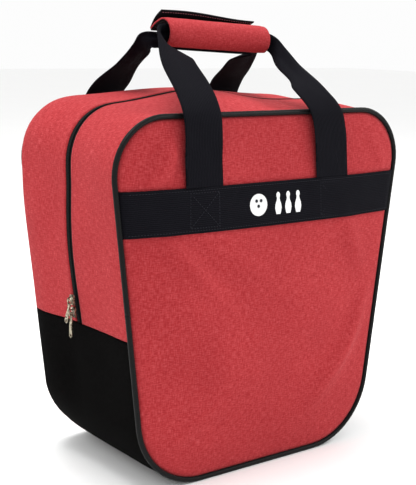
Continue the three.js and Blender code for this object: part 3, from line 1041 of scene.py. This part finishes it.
DENTS = (
    (-0.200, 0.000, 0.372, 0.055, -0.0065),
    (-0.196, -0.052, 0.330, 0.050, -0.0022),
    (-0.198, 0.058, 0.345, 0.030, -0.0030),
    (-0.200, 0.030, 0.270, 0.060, 0.0015),
    (-0.178, 0.030, 0.118, 0.030, -0.0036),
    (-0.176, -0.050, 0.140, 0.040, -0.0022),
    (0.200, 0.030, 0.320, 0.060, -0.0028),
    (0.060, -0.050, 0.425, 0.060, -0.0030),
    (-0.110, -0.055, 0.422, 0.050, -0.0026),
    (0.150, 0.050, 0.425, 0.045, -0.0020),
)


def tube(name: str, route: Route, y: float, radius: float, steps: tuple[int, int],
         ripple: Callable[[float], float] | None = None, offset: Callable[[RimPoint], float] | None = None
         ) -> bpy.types.Object:
    """A round cord along a route at one distance from the middle plane.

    Args:
        name: the piece's name.
        route: the outline that it follows.
        y: its distance from the middle plane.
        radius: its radius.
        steps: faces along it and round it.
        ripple: how the radius changes with the distance along it, as a factor.
        offset: how far its line stands outside the outline.

    Returns:
        The piece, with no material yet.
    """

    def place(u: float, v: float) -> Vector:
        """The surface's point at u and v."""
        p = route.at(u)
        size = radius * (ripple(u * route.length) if ripple else 1.0)
        turn = v * TAU
        x, z = p.out((offset(p) if offset else 0.0) + size * math.cos(turn))
        return Vector((x, y + size * math.sin(turn), max(0.0, z)))

    shape = cloth_grid(*steps, place, (route.length, TAU * radius))
    bmesh.ops.remove_doubles(shape, verts=shape.verts, dist=1e-6)
    ends = [e for e in shape.edges if e.is_boundary]
    if ends:
        bmesh.ops.holes_fill(shape, edges=ends)
    bmesh.ops.recalc_face_normals(shape, faces=shape.faces)
    return finish_mesh(shape, name)


@dataclass
class Piping:
    """Round bound cord sewn into each seam."""

    radius: float = 3.0 * MM
    rear_in: float = 0.6 * MM
    rear_thinner: float = 0.4 * MM

    def build(self) -> None:
        """Makes the front piping, baked in place on no body, and the rear piping on the root."""
        route = Route(OUTLINE.whole())
        front = tube("front_piping", route, -SEAM_Y, self.radius, (520, 14), self.gather)
        WARDROBE.dress(front, Finish.BLACK_PIPING)
        assign(front, ("front_piping_upper", "front_piping_lower"), None)
        rear = tube("rear_piping_cord", route, SEAM_Y - self.rear_in, self.radius - self.rear_thinner,
                    (520, 14), self.gather, lambda p: -REAR_TUCK)
        WARDROBE.dress(rear, Finish.BLACK_PIPING)
        assign(rear, ("rear_piping",), "root")

    @staticmethod
    def gather(along: float) -> float:
        """The cover's faint gathering along the cord."""
        return 1.0 + 0.02 * math.sin(along * 900) + 0.03 * noise.noise(Vector((along * 60, 0, 0)))


@dataclass
class Zip:
    """Tapes, coils, sliders and pulls."""

    gusset: Gusset
    tooth: float = 1.7 * MM
    tape_far: float = 8.6 * MM
    tape_near: float = 1.7 * MM
    coil_y: float = 0.8 * MM
    coil_radius: float = 1.08 * MM

    def tape(self, name: str, node: str, sign: int) -> None:
        """One tape, from under the cloth's edge to the coil.

        Args:
            name: the piece's name.
            node: the frame's node.
            sign: -1 for the front and 1 for the rear.
        """
        ys = tuple(sorted((sign * self.tape_far, sign * self.tape_near)))
        route = Route(OUTLINE.upper(SPLIT_Z + 0.5 * MM))
        piece = self.gusset.strip(name, route, ys, Finish.BLACK_ZIP, (220, 4), 0.8 * MM, 1.0 * MM)
        assign(piece, (node,), SIDE_BODY[sign])

    def coil(self, name: str, node: str, sign: int) -> None:
        """One half of the coil, ridged at every turn.

        Args:
            name: the piece's name.
            node: the frame's node.
            sign: -1 for the front, 1 for the rear, whose ridges sit in the hollows.
        """
        route = Route(OUTLINE.upper(SPLIT_Z + 0.5 * MM))
        turns = route.length / self.tooth
        piece = tube(
            name, route, sign * self.coil_y, self.coil_radius, (int(turns * 4), 7),
            lambda s: 0.86 + sign * 0.2 * math.cos(s / self.tooth * TAU),
            lambda p: self.gusset.offset(p, 0.0) - 0.4 * MM + self.gusset.relief(p, 0.0),
        )
        WARDROBE.dress(piece, Finish.BLACK_ZIP)
        assign(piece, (node,), SIDE_BODY[sign])

    def build(self) -> None:
        """Makes the zip and dresses its metal."""
        for side, sign in (("front", -1), ("rear", 1)):
            self.tape(f"{side}_tape_cloth", f"{side}_zip_tape", sign)
            self.coil(f"{side}_coil_teeth", f"{side}_zip_coil", sign)
        for which in ("lower", "upper"):
            for part in ("slider_body", "slider_bridge", "pull"):
                WARDROBE.dress(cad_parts[f"{which}_{part}"], Finish.ANTIQUE_NICKEL)


# ---------------------------------------------------------------- handles


WEBBING_WIDTH = 50 * MM
SPLINE_STEPS = 40
KEYS = ("x", "y", "z", "turn", "width", "thick", "lean", "yaw")


@dataclass(frozen=True)
class Station:
    """A place on a strap: where it is, how its width turns, and how far it is folded together."""

    x: float
    y: float
    z: float
    turn: float
    width: float
    thick: float
    lean: float
    yaw: float = 0.0


def spline(values: Sequence[float], t: float) -> float:
    """A smooth curve through evenly numbered values.

    Args:
        values: what the curve passes through.
        t: where it is read, 0 at the first value.

    Returns:
        The value there.
    """
    i = min(max(int(t), 0), len(values) - 2)
    u = t - i
    a = values[max(0, i - 1)]
    b, c = values[i], values[i + 1]
    d = values[min(len(values) - 1, i + 2)]
    return 0.5 * (2 * b + (c - a) * u + (2 * a - 5 * b + 4 * c - d) * u * u + (3 * b - a - 3 * c + d) * u**3)


@dataclass
class Strap:
    """One handle: a webbing ribbon up the left leg, through the grip and down the right leg."""

    name: str
    node: str
    body: str
    rear: bool
    left: tuple[Station, ...]
    grip: tuple[Station, ...]
    right: tuple[Station, ...]

    def stations(self) -> list[Station]:
        """All the strap's stations in order; the right leg's turn runs on past the grip's."""
        down = [
            replace(s, turn=math.pi - s.turn, yaw=-s.yaw) for s in reversed(self.right)
        ]
        return [*self.left, *self.grip, *down]

    def build(self) -> None:
        """Makes the strap, folded together where it enters the grip."""
        rows = self.stations()
        lists = {key: [getattr(row, key) for row in rows] for key in KEYS}
        count = SPLINE_STEPS * (len(rows) - 1) + 1
        line = [Vector([spline(lists[key], t / SPLINE_STEPS) for key in "xyz"]) for t in range(count)]
        marks = marks_along(line)
        flip = -1 if self.rear else 1

        def place(u: float, v: float) -> Vector:
            """The surface's point at u and v."""
            k = min(bisect_right(marks, u * marks[-1]), len(marks) - 1)
            t = (k - 1 + (u * marks[-1] - marks[k - 1]) / (marks[k] - marks[k - 1])) / SPLINE_STEPS
            at = {key: spline(lists[key], t) for key in KEYS}
            w = 2 * v - 1
            turn, yaw = at["turn"], at["yaw"]
            across = Vector((math.cos(turn) * math.cos(yaw), math.sin(yaw), -math.sin(turn)))
            depth = Vector((0, math.cos(at["lean"]), -math.sin(at["lean"])))
            half = at["width"] / 2
            curl = (at["thick"] - 2.0) * 0.9 * math.cos(w * math.pi * 1.5)
            ripple = 0.25 * noise.noise(Vector((u * 30, w * 1.5, 7.0)))
            centre = Vector((at["x"], at["y"], at["z"])) + across * half * w + depth * (curl + ripple)
            return Vector((centre.x, centre.y * flip, centre.z)) * MM

        shape = cloth_grid(300, 14, place, (marks[-1] * MM, WEBBING_WIDTH))
        if self.rear:
            bmesh.ops.reverse_faces(shape, faces=shape.faces)
        bmesh.ops.solidify(shape, geom=shape.faces[:], thickness=1.7 * MM)
        bmesh.ops.recalc_face_normals(shape, faces=shape.faces)
        piece = finish_mesh(shape, self.name)
        WARDROBE.dress(piece, Finish.BLACK_WEBBING)
        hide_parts(self.node)
        LOG.info("%s: %.0f mm long", self.name, marks[-1])
        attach(piece, self.body)


def leg(xs: Sequence[float], bend: Sequence[Station]) -> tuple[Station, ...]:
    """A leg's flat stretch on its panel, then its bend back over the bag's top.

    Args:
        xs: the centre line's x at six heights from the band up.
        bend: the stations from there to the grip.

    Returns:
        All the leg's stations.
    """
    y = -116.3
    rise = ((y, 344.7, 0), (y, 358, 0), (y, 374, 0), (y + 0.5, 400, 0), (y + 5, 424, 0.35), (-92, 446, 0.9))
    flat = [Station(x, at, z, 0, 50, 2, lean) for x, (at, z, lean) in zip(xs, rise)]
    return (*flat, *bend)


HALF_TURN = math.pi / 2


def in_grip(axis: Callable[[float], float], y: float, drop: float, width: float) -> tuple[Station, ...]:
    """The stretch of a strap that lies in the grip.

    Args:
        axis: the grip's height at x.
        y: the strap's distance from the middle.
        drop: how far it lies under the axis.
        width: its width there.

    Returns:
        Its stations.
    """
    return tuple(Station(x, y, axis(x) - drop, HALF_TURN, width, 4.0, 0) for x in (-45, -3, 38))


def front_strap(axis: Callable[[float], float]) -> Strap:
    """The front handle, whose width turns upright at the grip's ends."""
    left = leg((-99, -100, -101, -101, -101, -97.5), (
        Station(-94, -60, 472, 0.08, 49, 2.4, 0.75), Station(-85, -34, 489, 0.38, 46, 3.0, 0.5),
        Station(-87, -14, 501, 1.05, 28, 4.0, 0.1), Station(-78, -5.2, 506.8, HALF_TURN, 20, 4.0, 0),
    ))
    right = leg((89, 87.5, 86, 83, 78, 69.5), (
        Station(72, -62, 464, 0.42, 38, 2.6, 0.75, 0.45), Station(74, -34, 481, 0.75, 28, 3.4, 0.5, 0.2),
        Station(80, -12, 494, 1.25, 21, 4.0, 0.1), Station(70, -5.3, 499.8, HALF_TURN, 19.4, 4.0, 0),
    ))
    grip = in_grip(axis, -5.2, 0, 20)
    return Strap("front_handle_webbing", "front_handle", "front_handle_body", False, left, grip, right)


def rear_strap(axis: Callable[[float], float]) -> Strap:
    """The rear handle, folded narrower so that it leaves under the wrap's lip."""
    left = leg((-93, -92.5, -92, -92, -90, -86), (
        Station(-83, -62, 468, 0.1, 38, 2.4, 0.75, -0.3), Station(-83.5, -34, 486, 0.4, 30, 3.2, 0.4, -0.3),
        Station(-89, -16, 496, 1.0, 21, 4.2, 0.1), Station(-80, -6.5, 498, HALF_TURN, 16, 4.0, 0),
    ))
    right = leg((97, 97, 97, 97, 97, 91), (
        Station(81, -62, 462, 0.05, 47, 2.4, 0.75), Station(72, -34, 479, 0.2, 42, 2.8, 0.4),
        Station(72, -17, 489, 0.75, 28, 3.8, 0.1), Station(61, -6.5, 491, HALF_TURN, 16, 4.0, 0),
    ))
    grip = in_grip(axis, -6.5, 9.5, 16)
    return Strap("rear_handle_webbing", "rear_handle", "rear_handle_body", True, left, grip, right)


# ---------------------------------------------------------------- grip wrap


@dataclass
class GripWrap:
    """The padded wrap round the handles: red cover, dark lining and a flap that stands open."""

    left_x: float = -77.0
    right_x: float = 71.0
    left_z: float = 507.0
    right_z: float = 500.0
    radius: float = 17.0
    lip_y: float = 26.0
    lip_z: float = 4.6
    lining_step: float = 1.9

    def axis_z(self, x: float) -> float:
        """The grip axis's height at x, in millimetres."""
        return mix(self.left_z, self.right_z, (x - self.left_x) / (self.right_x - self.left_x))

    def curve(self, t: float, radius: float, drop: float) -> tuple[float, float]:
        """The wrap's section from its front lower edge (0) over the top to its rear lip (1).

        Args:
            t: how far round.
            radius: the layer's radius.
            drop: how far its lip lies under the cover's.

        Returns:
            y and z from the axis, in millimetres.
        """
        bend = 0.76
        if t <= bend:
            turn = math.radians(mix(250, 66, t / bend))
            return radius * math.cos(turn), radius * math.sin(turn)
        start = (radius * math.cos(math.radians(66)), radius * math.sin(math.radians(66)))
        s = (t - bend) / (1 - bend)
        sag = 1.2 * math.sin(s * math.pi)
        return mix(start[0], self.lip_y, s), mix(start[1], self.lip_z - drop, s) + sag

    def layer(self, name: str, radius: float, drop: float, wall: float, ends: tuple[float, float],
              puff: float) -> bpy.types.Object:
        """One layer of the wrap.

        Args:
            name: the piece's name.
            radius, drop: as for curve.
            wall: its thickness in millimetres.
            ends: its two ends along the grip.
            puff: how far the padding swells.

        Returns:
            The piece, with no material yet.
        """

        def place(u: float, v: float) -> Vector:
            """The surface's point at u and v."""
            x = mix(*ends, u)
            y, z = self.curve(v, radius, drop)
            end = smoothstep(0.0, 0.05, min(u, 1 - u))
            swell = puff * (end - 1) + puff * 0.9 * noise.noise(Vector((x * 0.035, v * 3.0, 2.0))) * end
            length = max(1e-6, math.hypot(y, z))
            return Vector((x, y * (1 + swell / length), self.axis_z(x) + z * (1 + swell / length))) * MM

        shape = cloth_grid(90, 44, place, (0.161, 0.105))
        thicken(shape, wall * MM, lambda at: Vector((0, at.y, at.z - 0.5)))
        return finish_mesh(shape, name)

    def flap_point(self, u: float, v: float, out: float = 0.0) -> Vector:
        """A point of the flap's outer face: u along the grip and v from its root to its free edge."""
        x = mix(self.left_x + 1.0, 61.5, u)
        droop = 2.6 * smoothstep(0.15, 0.9, u) * v
        bow = 1.7 * math.sin(v * math.pi) + out * 0.7
        y = mix(27.4, 4.4, v) + bow
        z = mix(4.6, 25.6, v) + bow - droop + math.sin(u * 5.0) * v
        return Vector((x, y, self.axis_z(x) + z)) * MM

    def flap(self) -> bpy.types.Object:
        """The closing flap, standing up from the lip and leaning forward over the roll."""
        shape = cloth_grid(70, 16, self.flap_point, (0.137, 0.033))
        thicken(shape, 1.5 * MM, Vector((0, 0.7, 0.7)))
        return finish_mesh(shape, "grip_flap_cloth")

    def build(self) -> None:
        """Makes the wrap's three layers."""
        red, lining, step = Finish.RED_CANVAS, Finish.BLACK_LINING, self.lining_step
        for name, finish, node, radius, drop, wall, trim, puff, fill in (
            ("grip_cover_cloth", red, "grip_cover", self.radius, 0.0, 1.6, 0.0, 0.5, 0.6),
            ("grip_lining_cloth", lining, "grip_lining", self.radius - step, step, 1.2, 0.8, 0.2, 0.3),
        ):
            ends = (self.left_x + trim, self.right_x - trim)
            piece = WARDROBE.dress(self.layer(name, radius, drop, wall, ends, puff), finish)
            assign(piece, (node,), "front_handle_body", fill)
        flap = self.flap()
        WARDROBE.dress(flap, Finish.BLACK_LINING)
        assign(flap, ("grip_flap",), "flap_body", 0.2)


# ---------------------------------------------------------------- stitching


@dataclass
class Stitching:
    """Rows of lockstitch: a short flat bead of thread for each stitch."""

    pitch: float = 3.6 * MM
    bead: tuple[float, float, float] = (1.35 * MM, 0.42 * MM, 0.26 * MM)
    box_half: float = 0.019
    zip_gap: float = 9.4 * MM

    def row(self, name: str, points: Sequence[tuple[Vector, Vector]], look: Smooth, finish: Finish,
            body: str | None) -> None:
        """One row of stitches.

        Args:
            name: the piece's name.
            points: places along the row, each with the cloth's outward direction.
            look: the thread.
            finish: the slot it belongs to.
            body: the body that it rides on, or None to bake it in place on no body.
        """
        shape = bmesh.new()
        marks = marks_along([at for at, _ in points])
        count = max(1, int(marks[-1] / self.pitch))
        i = 0
        for k in range(count):
            target = (k + 0.5) * marks[-1] / count
            while marks[i + 1] < target:
                i += 1
            t = (target - marks[i]) / (marks[i + 1] - marks[i])
            at = points[i][0].lerp(points[i + 1][0], t)
            along = (points[i + 1][0] - points[i][0]).normalized()
            out = points[i][1].lerp(points[i + 1][1], t).normalized()
            side = out.cross(along).normalized()
            turn = Matrix((along, side, out)).transposed().to_4x4()
            size = Matrix.Diagonal((*self.bead, 1.0))
            bmesh.ops.create_icosphere(shape, subdivisions=1, radius=1.0,
                                       matrix=Matrix.Translation(at) @ turn @ size, calc_uvs=True)
        move_with(WARDROBE.dress(finish_mesh(shape, name), finish, look), body)

    def build(self, panels: Panels, gusset: Gusset, wrap: GripWrap) -> None:
        """Sews the bands, the handle legs, the zip's edges and the flap."""
        self.bands(panels)
        self.zip_edges(gusset)
        for name, raised, out in (("flap_top_stitch", 0.35, 0.7), ("flap_under_stitch", -1.8, -0.7)):
            row = [(wrap.flap_point(u / 60, 0.88, raised), Vector((0, out, out))) for u in range(1, 60)]
            self.row(name, row, THREAD_PINK, Finish.BLACK_LINING, "flap_body")

    def bands(self, panels: Panels) -> None:
        """Rows along the bands' edges, and a crossed box under each handle leg."""
        low, high = (v.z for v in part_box("front_band"))
        inset, lift = 3.2 * MM, 3.05 * MM

        def on_band(x: float, z: float, sign: int) -> tuple[Vector, Vector]:
            """A place on a band with its outward direction."""
            y = panels.front_y(x, z) + panels.relief(x, z) + lift - (REAR_DROP if sign < 0 else 0.0)
            return Vector((x, -y * sign, z)) if sign > 0 else Vector((-x, y, z)), Vector((0, -sign, 0))

        for side, sign, body in (("front", 1, "front_half"), ("rear", -1, "root")):
            reach = OUTLINE.half_width(low) - 6 * MM - (REAR_TUCK if sign < 0 else 0.0)
            steps = [mix(-reach, reach, i / 80) for i in range(81)]
            for place, z in (("top", high - inset), ("base", low + inset)):
                row = [on_band(x, z, sign) for x in steps]
                self.row(f"{side}_band_{place}_stitch", row, THREAD_BLACK, Finish.BLACK_WEBBING, body)
            left_x, right_x = (-0.099, 0.089) if sign > 0 else (-0.097, 0.093)
            for name, x in (("left", left_x), ("right", right_x)):
                h = self.box_half
                box = [(-h, -h), (h, -h), (h, h), (-h, h), (-h, -h), (h, h), (h, -h), (-h, h)]
                middle = (low + high) / 2
                path = []
                for (ax, az), (bx, bz) in zip(box, box[1:]):
                    for i in range(12):
                        t = i / 12
                        path.append(on_band(x + mix(ax, bx, t), middle + mix(az, bz, t), sign))
                self.row(f"{side}_{name}_box_stitch", path, THREAD_BLACK, Finish.BLACK_WEBBING, body)

    def zip_edges(self, gusset: Gusset) -> None:
        """A row of topstitching along each side of the zip."""
        route = Route(OUTLINE.upper(SPLIT_Z + 3 * MM))
        for side, sign in (("front", -1), ("rear", 1)):
            y = sign * self.zip_gap
            row = []
            for i in range(400):
                p = route.at(i / 399)
                x, z = p.out(gusset.offset(p, y) + gusset.relief(p, y) + 0.1 * MM)
                row.append((Vector((x, y, z)), Vector((p.nx, 0, p.nz))))
            self.row(f"{side}_zip_stitch", row, THREAD_RED, Finish.RED_CANVAS, SIDE_BODY[sign])


@dataclass
class Emblem:
    """A plain printed picture on the front band: a ball with three holes beside three pins."""

    x: float = 0.003
    size: float = 0.0125
    lift: float = 3.2 * MM
    thick: float = 0.25 * MM

    def lay(self, shape: bmesh.types.BMesh, panels: Panels) -> None:
        """Moves a flat drawing in x and z onto the band."""
        middle = sum(v.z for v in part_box("front_band")) / 2
        for vert in shape.verts:
            x, z = vert.co.x + self.x, vert.co.y + middle
            vert.co = (x, -(panels.front_y(x, z) + panels.relief(x, z) + self.lift + vert.co.z), z)

    def disc(self, shape: bmesh.types.BMesh, x: float, z: float, radius: float) -> None:
        """Adds one flat disc."""
        at = Matrix.Translation((x, z, 0))
        bmesh.ops.create_circle(shape, cap_ends=True, segments=32, radius=radius, matrix=at, calc_uvs=True)

    def pin(self, shape: bmesh.types.BMesh, x: float) -> None:
        """Adds one pin from rows of its half width.

        Args:
            shape: the drawing.
            x: the pin's middle.
        """
        rows = ((-1.0, 0.24), (-0.8, 0.30), (-0.45, 0.38), (-0.1, 0.34), (0.25, 0.19), (0.45, 0.15),
                (0.65, 0.21), (0.85, 0.20), (1.0, 0.07))
        last: list[bmesh.types.BMVert] = []
        for z, half in rows:
            pair = [shape.verts.new((x + s * half * self.size, z * self.size, 0)) for s in (-1, 1)]
            if last:
                shape.faces.new((last[0], last[1], pair[1], pair[0]))
            last = pair

    def build(self, panels: Panels) -> None:
        """Prints the ball, its holes and the pins."""
        ball = bmesh.new()
        ball.loops.layers.uv.verify()
        self.disc(ball, -0.028, 0.0, self.size)
        for x in (0.001, 0.016, 0.031):
            self.pin(ball, x)
        self.finish(ball, panels, "band_print", PRINT_WHITE, 0.0)
        holes = bmesh.new()
        holes.loops.layers.uv.verify()
        for x, z in ((-0.0310, 0.0045), (-0.0245, 0.0045), (-0.0282, -0.0015)):
            self.disc(holes, x, z, 0.0019)
        self.finish(holes, panels, "band_print_holes", THREAD_BLACK, self.thick)

    def finish(self, shape: bmesh.types.BMesh, panels: Panels, name: str, look: Smooth,
               raise_by: float) -> None:
        """Cuts the drawing small enough to follow the band, thickens it and lays it down.

        Args:
            shape: the flat drawing, which is used up.
            panels: what the band lies on.
            name: the piece's name.
            look: its print.
            raise_by: how far it stands over the first layer.
        """
        bmesh.ops.subdivide_edges(shape, edges=[e for e in shape.edges if e.calc_length() > 5 * MM], cuts=2)
        bmesh.ops.triangulate(shape, faces=shape.faces)
        shape.normal_update()
        if sum(face.normal.z for face in shape.faces) < 0:
            bmesh.ops.reverse_faces(shape, faces=shape.faces)
        bmesh.ops.translate(shape, verts=shape.verts, vec=(0, 0, raise_by))
        bmesh.ops.solidify(shape, geom=shape.faces[:], thickness=self.thick)
        self.lay(shape, panels)
        bmesh.ops.recalc_face_normals(shape, faces=shape.faces)
        piece = WARDROBE.dress(finish_mesh(shape, name, smooth=False), Finish.BLACK_WEBBING, look)
        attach(piece, "front_half")


# ---------------------------------------------------------------- inside


@dataclass
class Inside:
    """The stiff board and the foam ring that seats the ball."""

    def build(self) -> None:
        """Makes the board and the ring from their frame boxes."""
        low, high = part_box("base_board")
        shape = bmesh.new()
        size = high - low
        matrix = Matrix.Translation((low + high) / 2) @ Matrix.Diagonal((*size, 1.0))
        bmesh.ops.create_cube(shape, size=1.0, matrix=matrix)
        edges = [e for e in shape.edges if abs((e.verts[0].co - e.verts[1].co).z) > 0.5 * size.z]
        bmesh.ops.bevel(shape, geom=edges, offset=18 * MM, segments=6, affect="EDGES", profile=0.5,
                        material=-1)
        board = finish_mesh(shape, "base_board_sheet", smooth=False)
        WARDROBE.dress(board, Finish.BLACK_BOARD)
        assign(board, ("base_board",), "root")
        self.ring()

    def ring(self) -> None:
        """Spins the foam ring's section round the vertical."""
        low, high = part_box("ball_ring_foam")
        outer, inner, tall = high.x, 56 * MM, high.z - low.z
        section = [(inner, 0.0), (outer, 0.0), (outer, tall * 0.72), (outer - 8 * MM, tall),
                   (inner + 14 * MM, tall), (inner, tall * 0.42)]
        shape = bmesh.new()
        verts = [shape.verts.new((r, 0, low.z + z)) for r, z in section]
        edges = [shape.edges.new((a, b)) for a, b in zip(verts, verts[1:] + verts[:1])]
        bmesh.ops.spin(shape, geom=[*verts, *edges], cent=(0, 0, 0), axis=(0, 0, 1), angle=TAU, steps=72,
                       use_merge=True)
        bmesh.ops.recalc_face_normals(shape, faces=shape.faces)
        sharp = [e for e in shape.edges if e.is_manifold and e.calc_face_angle() > 0.4]
        bmesh.ops.bevel(shape, geom=sharp, offset=2.5 * MM, segments=3, affect="EDGES", profile=0.5,
                        material=-1)
        ring = finish_mesh(shape, "ball_ring_pad")
        WARDROBE.dress(ring, Finish.GREY_FOAM)
        assign(ring, ("ball_ring_foam",), "root", 0.9)


# ---------------------------------------------------------------- studio


@dataclass
class Studio:
    """A pale sweep, soft lights and the camera."""

    azimuth: float = -37.23
    elevation: float = 11.04
    roll: float = 1.24
    distance: float = 1.314
    target: tuple[float, float, float] = (-0.005, 0.0, 0.254)
    lens: float = 79.2

    def camera(self) -> None:
        """Places the camera on a sphere round its target."""
        az, el = math.radians(self.azimuth), math.radians(self.elevation)
        back = Vector((math.sin(az) * math.cos(el), -math.cos(az) * math.cos(el), math.sin(el)))
        right = (-back).cross(Vector((0, 0, 1))).normalized()
        up = right.cross(-back)
        turn = math.radians(self.roll)
        side = right * math.cos(turn) + up * math.sin(turn)
        top = -right * math.sin(turn) + up * math.cos(turn)
        pose = Matrix((side, top, back)).transposed().to_4x4()
        pose.translation = Vector(self.target) + back * self.distance
        data = bpy.data.cameras.new("camera")
        data.lens, data.sensor_width, data.clip_end = self.lens, 36.0, 30.0
        camera = bpy.data.objects.new("camera", data)
        camera.matrix_world = pose
        bpy.context.scene.collection.objects.link(camera)
        bpy.context.scene.camera = camera

    def light(self, name: str, at: tuple[float, float, float], size: float, watts: float) -> None:
        """One square soft light aimed at the bag.

        Args:
            name: the lamp's name.
            at: where it stands.
            size: its side in metres.
            watts: its power.
        """
        data = bpy.data.lights.new(name, "AREA")
        data.size, data.energy = size, watts
        lamp = bpy.data.objects.new(name, data)
        lamp.location = at
        lamp.rotation_euler = (Vector((0, 0, 0.22)) - Vector(at)).to_track_quat("-Z", "Y").to_euler()
        bpy.context.scene.collection.objects.link(lamp)

    def floor(self) -> None:
        """A wide pale floor."""
        shape = bmesh.new()
        bmesh.ops.create_grid(shape, x_segments=2, y_segments=2, size=12.0)
        floor = finish_mesh(shape, "floor", smooth=False)
        kit = Shader("pale_floor", Roughness=0.9)
        soft = kit.noise(kit.place("Object"), 3.0, 2.0)
        kit.set("Base Color", kit.mix(soft, (0.93, 0.93, 0.925), (0.95, 0.95, 0.945)))
        floor.data.materials.append(kit.material)

    def build(self) -> None:
        """Makes the camera, the lights, the surroundings and the floor."""
        self.camera()
        world = bpy.data.worlds.new("surroundings")
        world.use_nodes = True
        world.node_tree.nodes["Background"].inputs["Color"].default_value = (1.0, 1.0, 1.0, 1.0)
        world.node_tree.nodes["Background"].inputs["Strength"].default_value = 0.98
        bpy.context.scene.world = world
        bpy.context.scene.view_settings.view_transform = "Standard"
        self.light("key", (2.2, -1.0, 1.9), 1.0, 44.0)
        self.light("left_fill", (-2.0, 0.5, 1.8), 1.3, 12.0)
        self.light("top_soft", (-0.3, 0.5, 2.3), 1.2, 40.0)
        self.floor()


def main() -> None:
    """Builds the studio and every part of the bag, in order."""
    Studio().build()
    panels = Panels()
    gusset = Gusset()
    panels.build()
    gusset.build()
    Piping().build()
    Zip(gusset).build()
    wrap = GripWrap()
    front_strap(wrap.axis_z).build()
    rear_strap(wrap.axis_z).build()
    wrap.build()
    Stitching().build(panels, gusset, wrap)
    Emblem().build(panels)
    Inside().build()


if __name__ == "__main__":
    main()
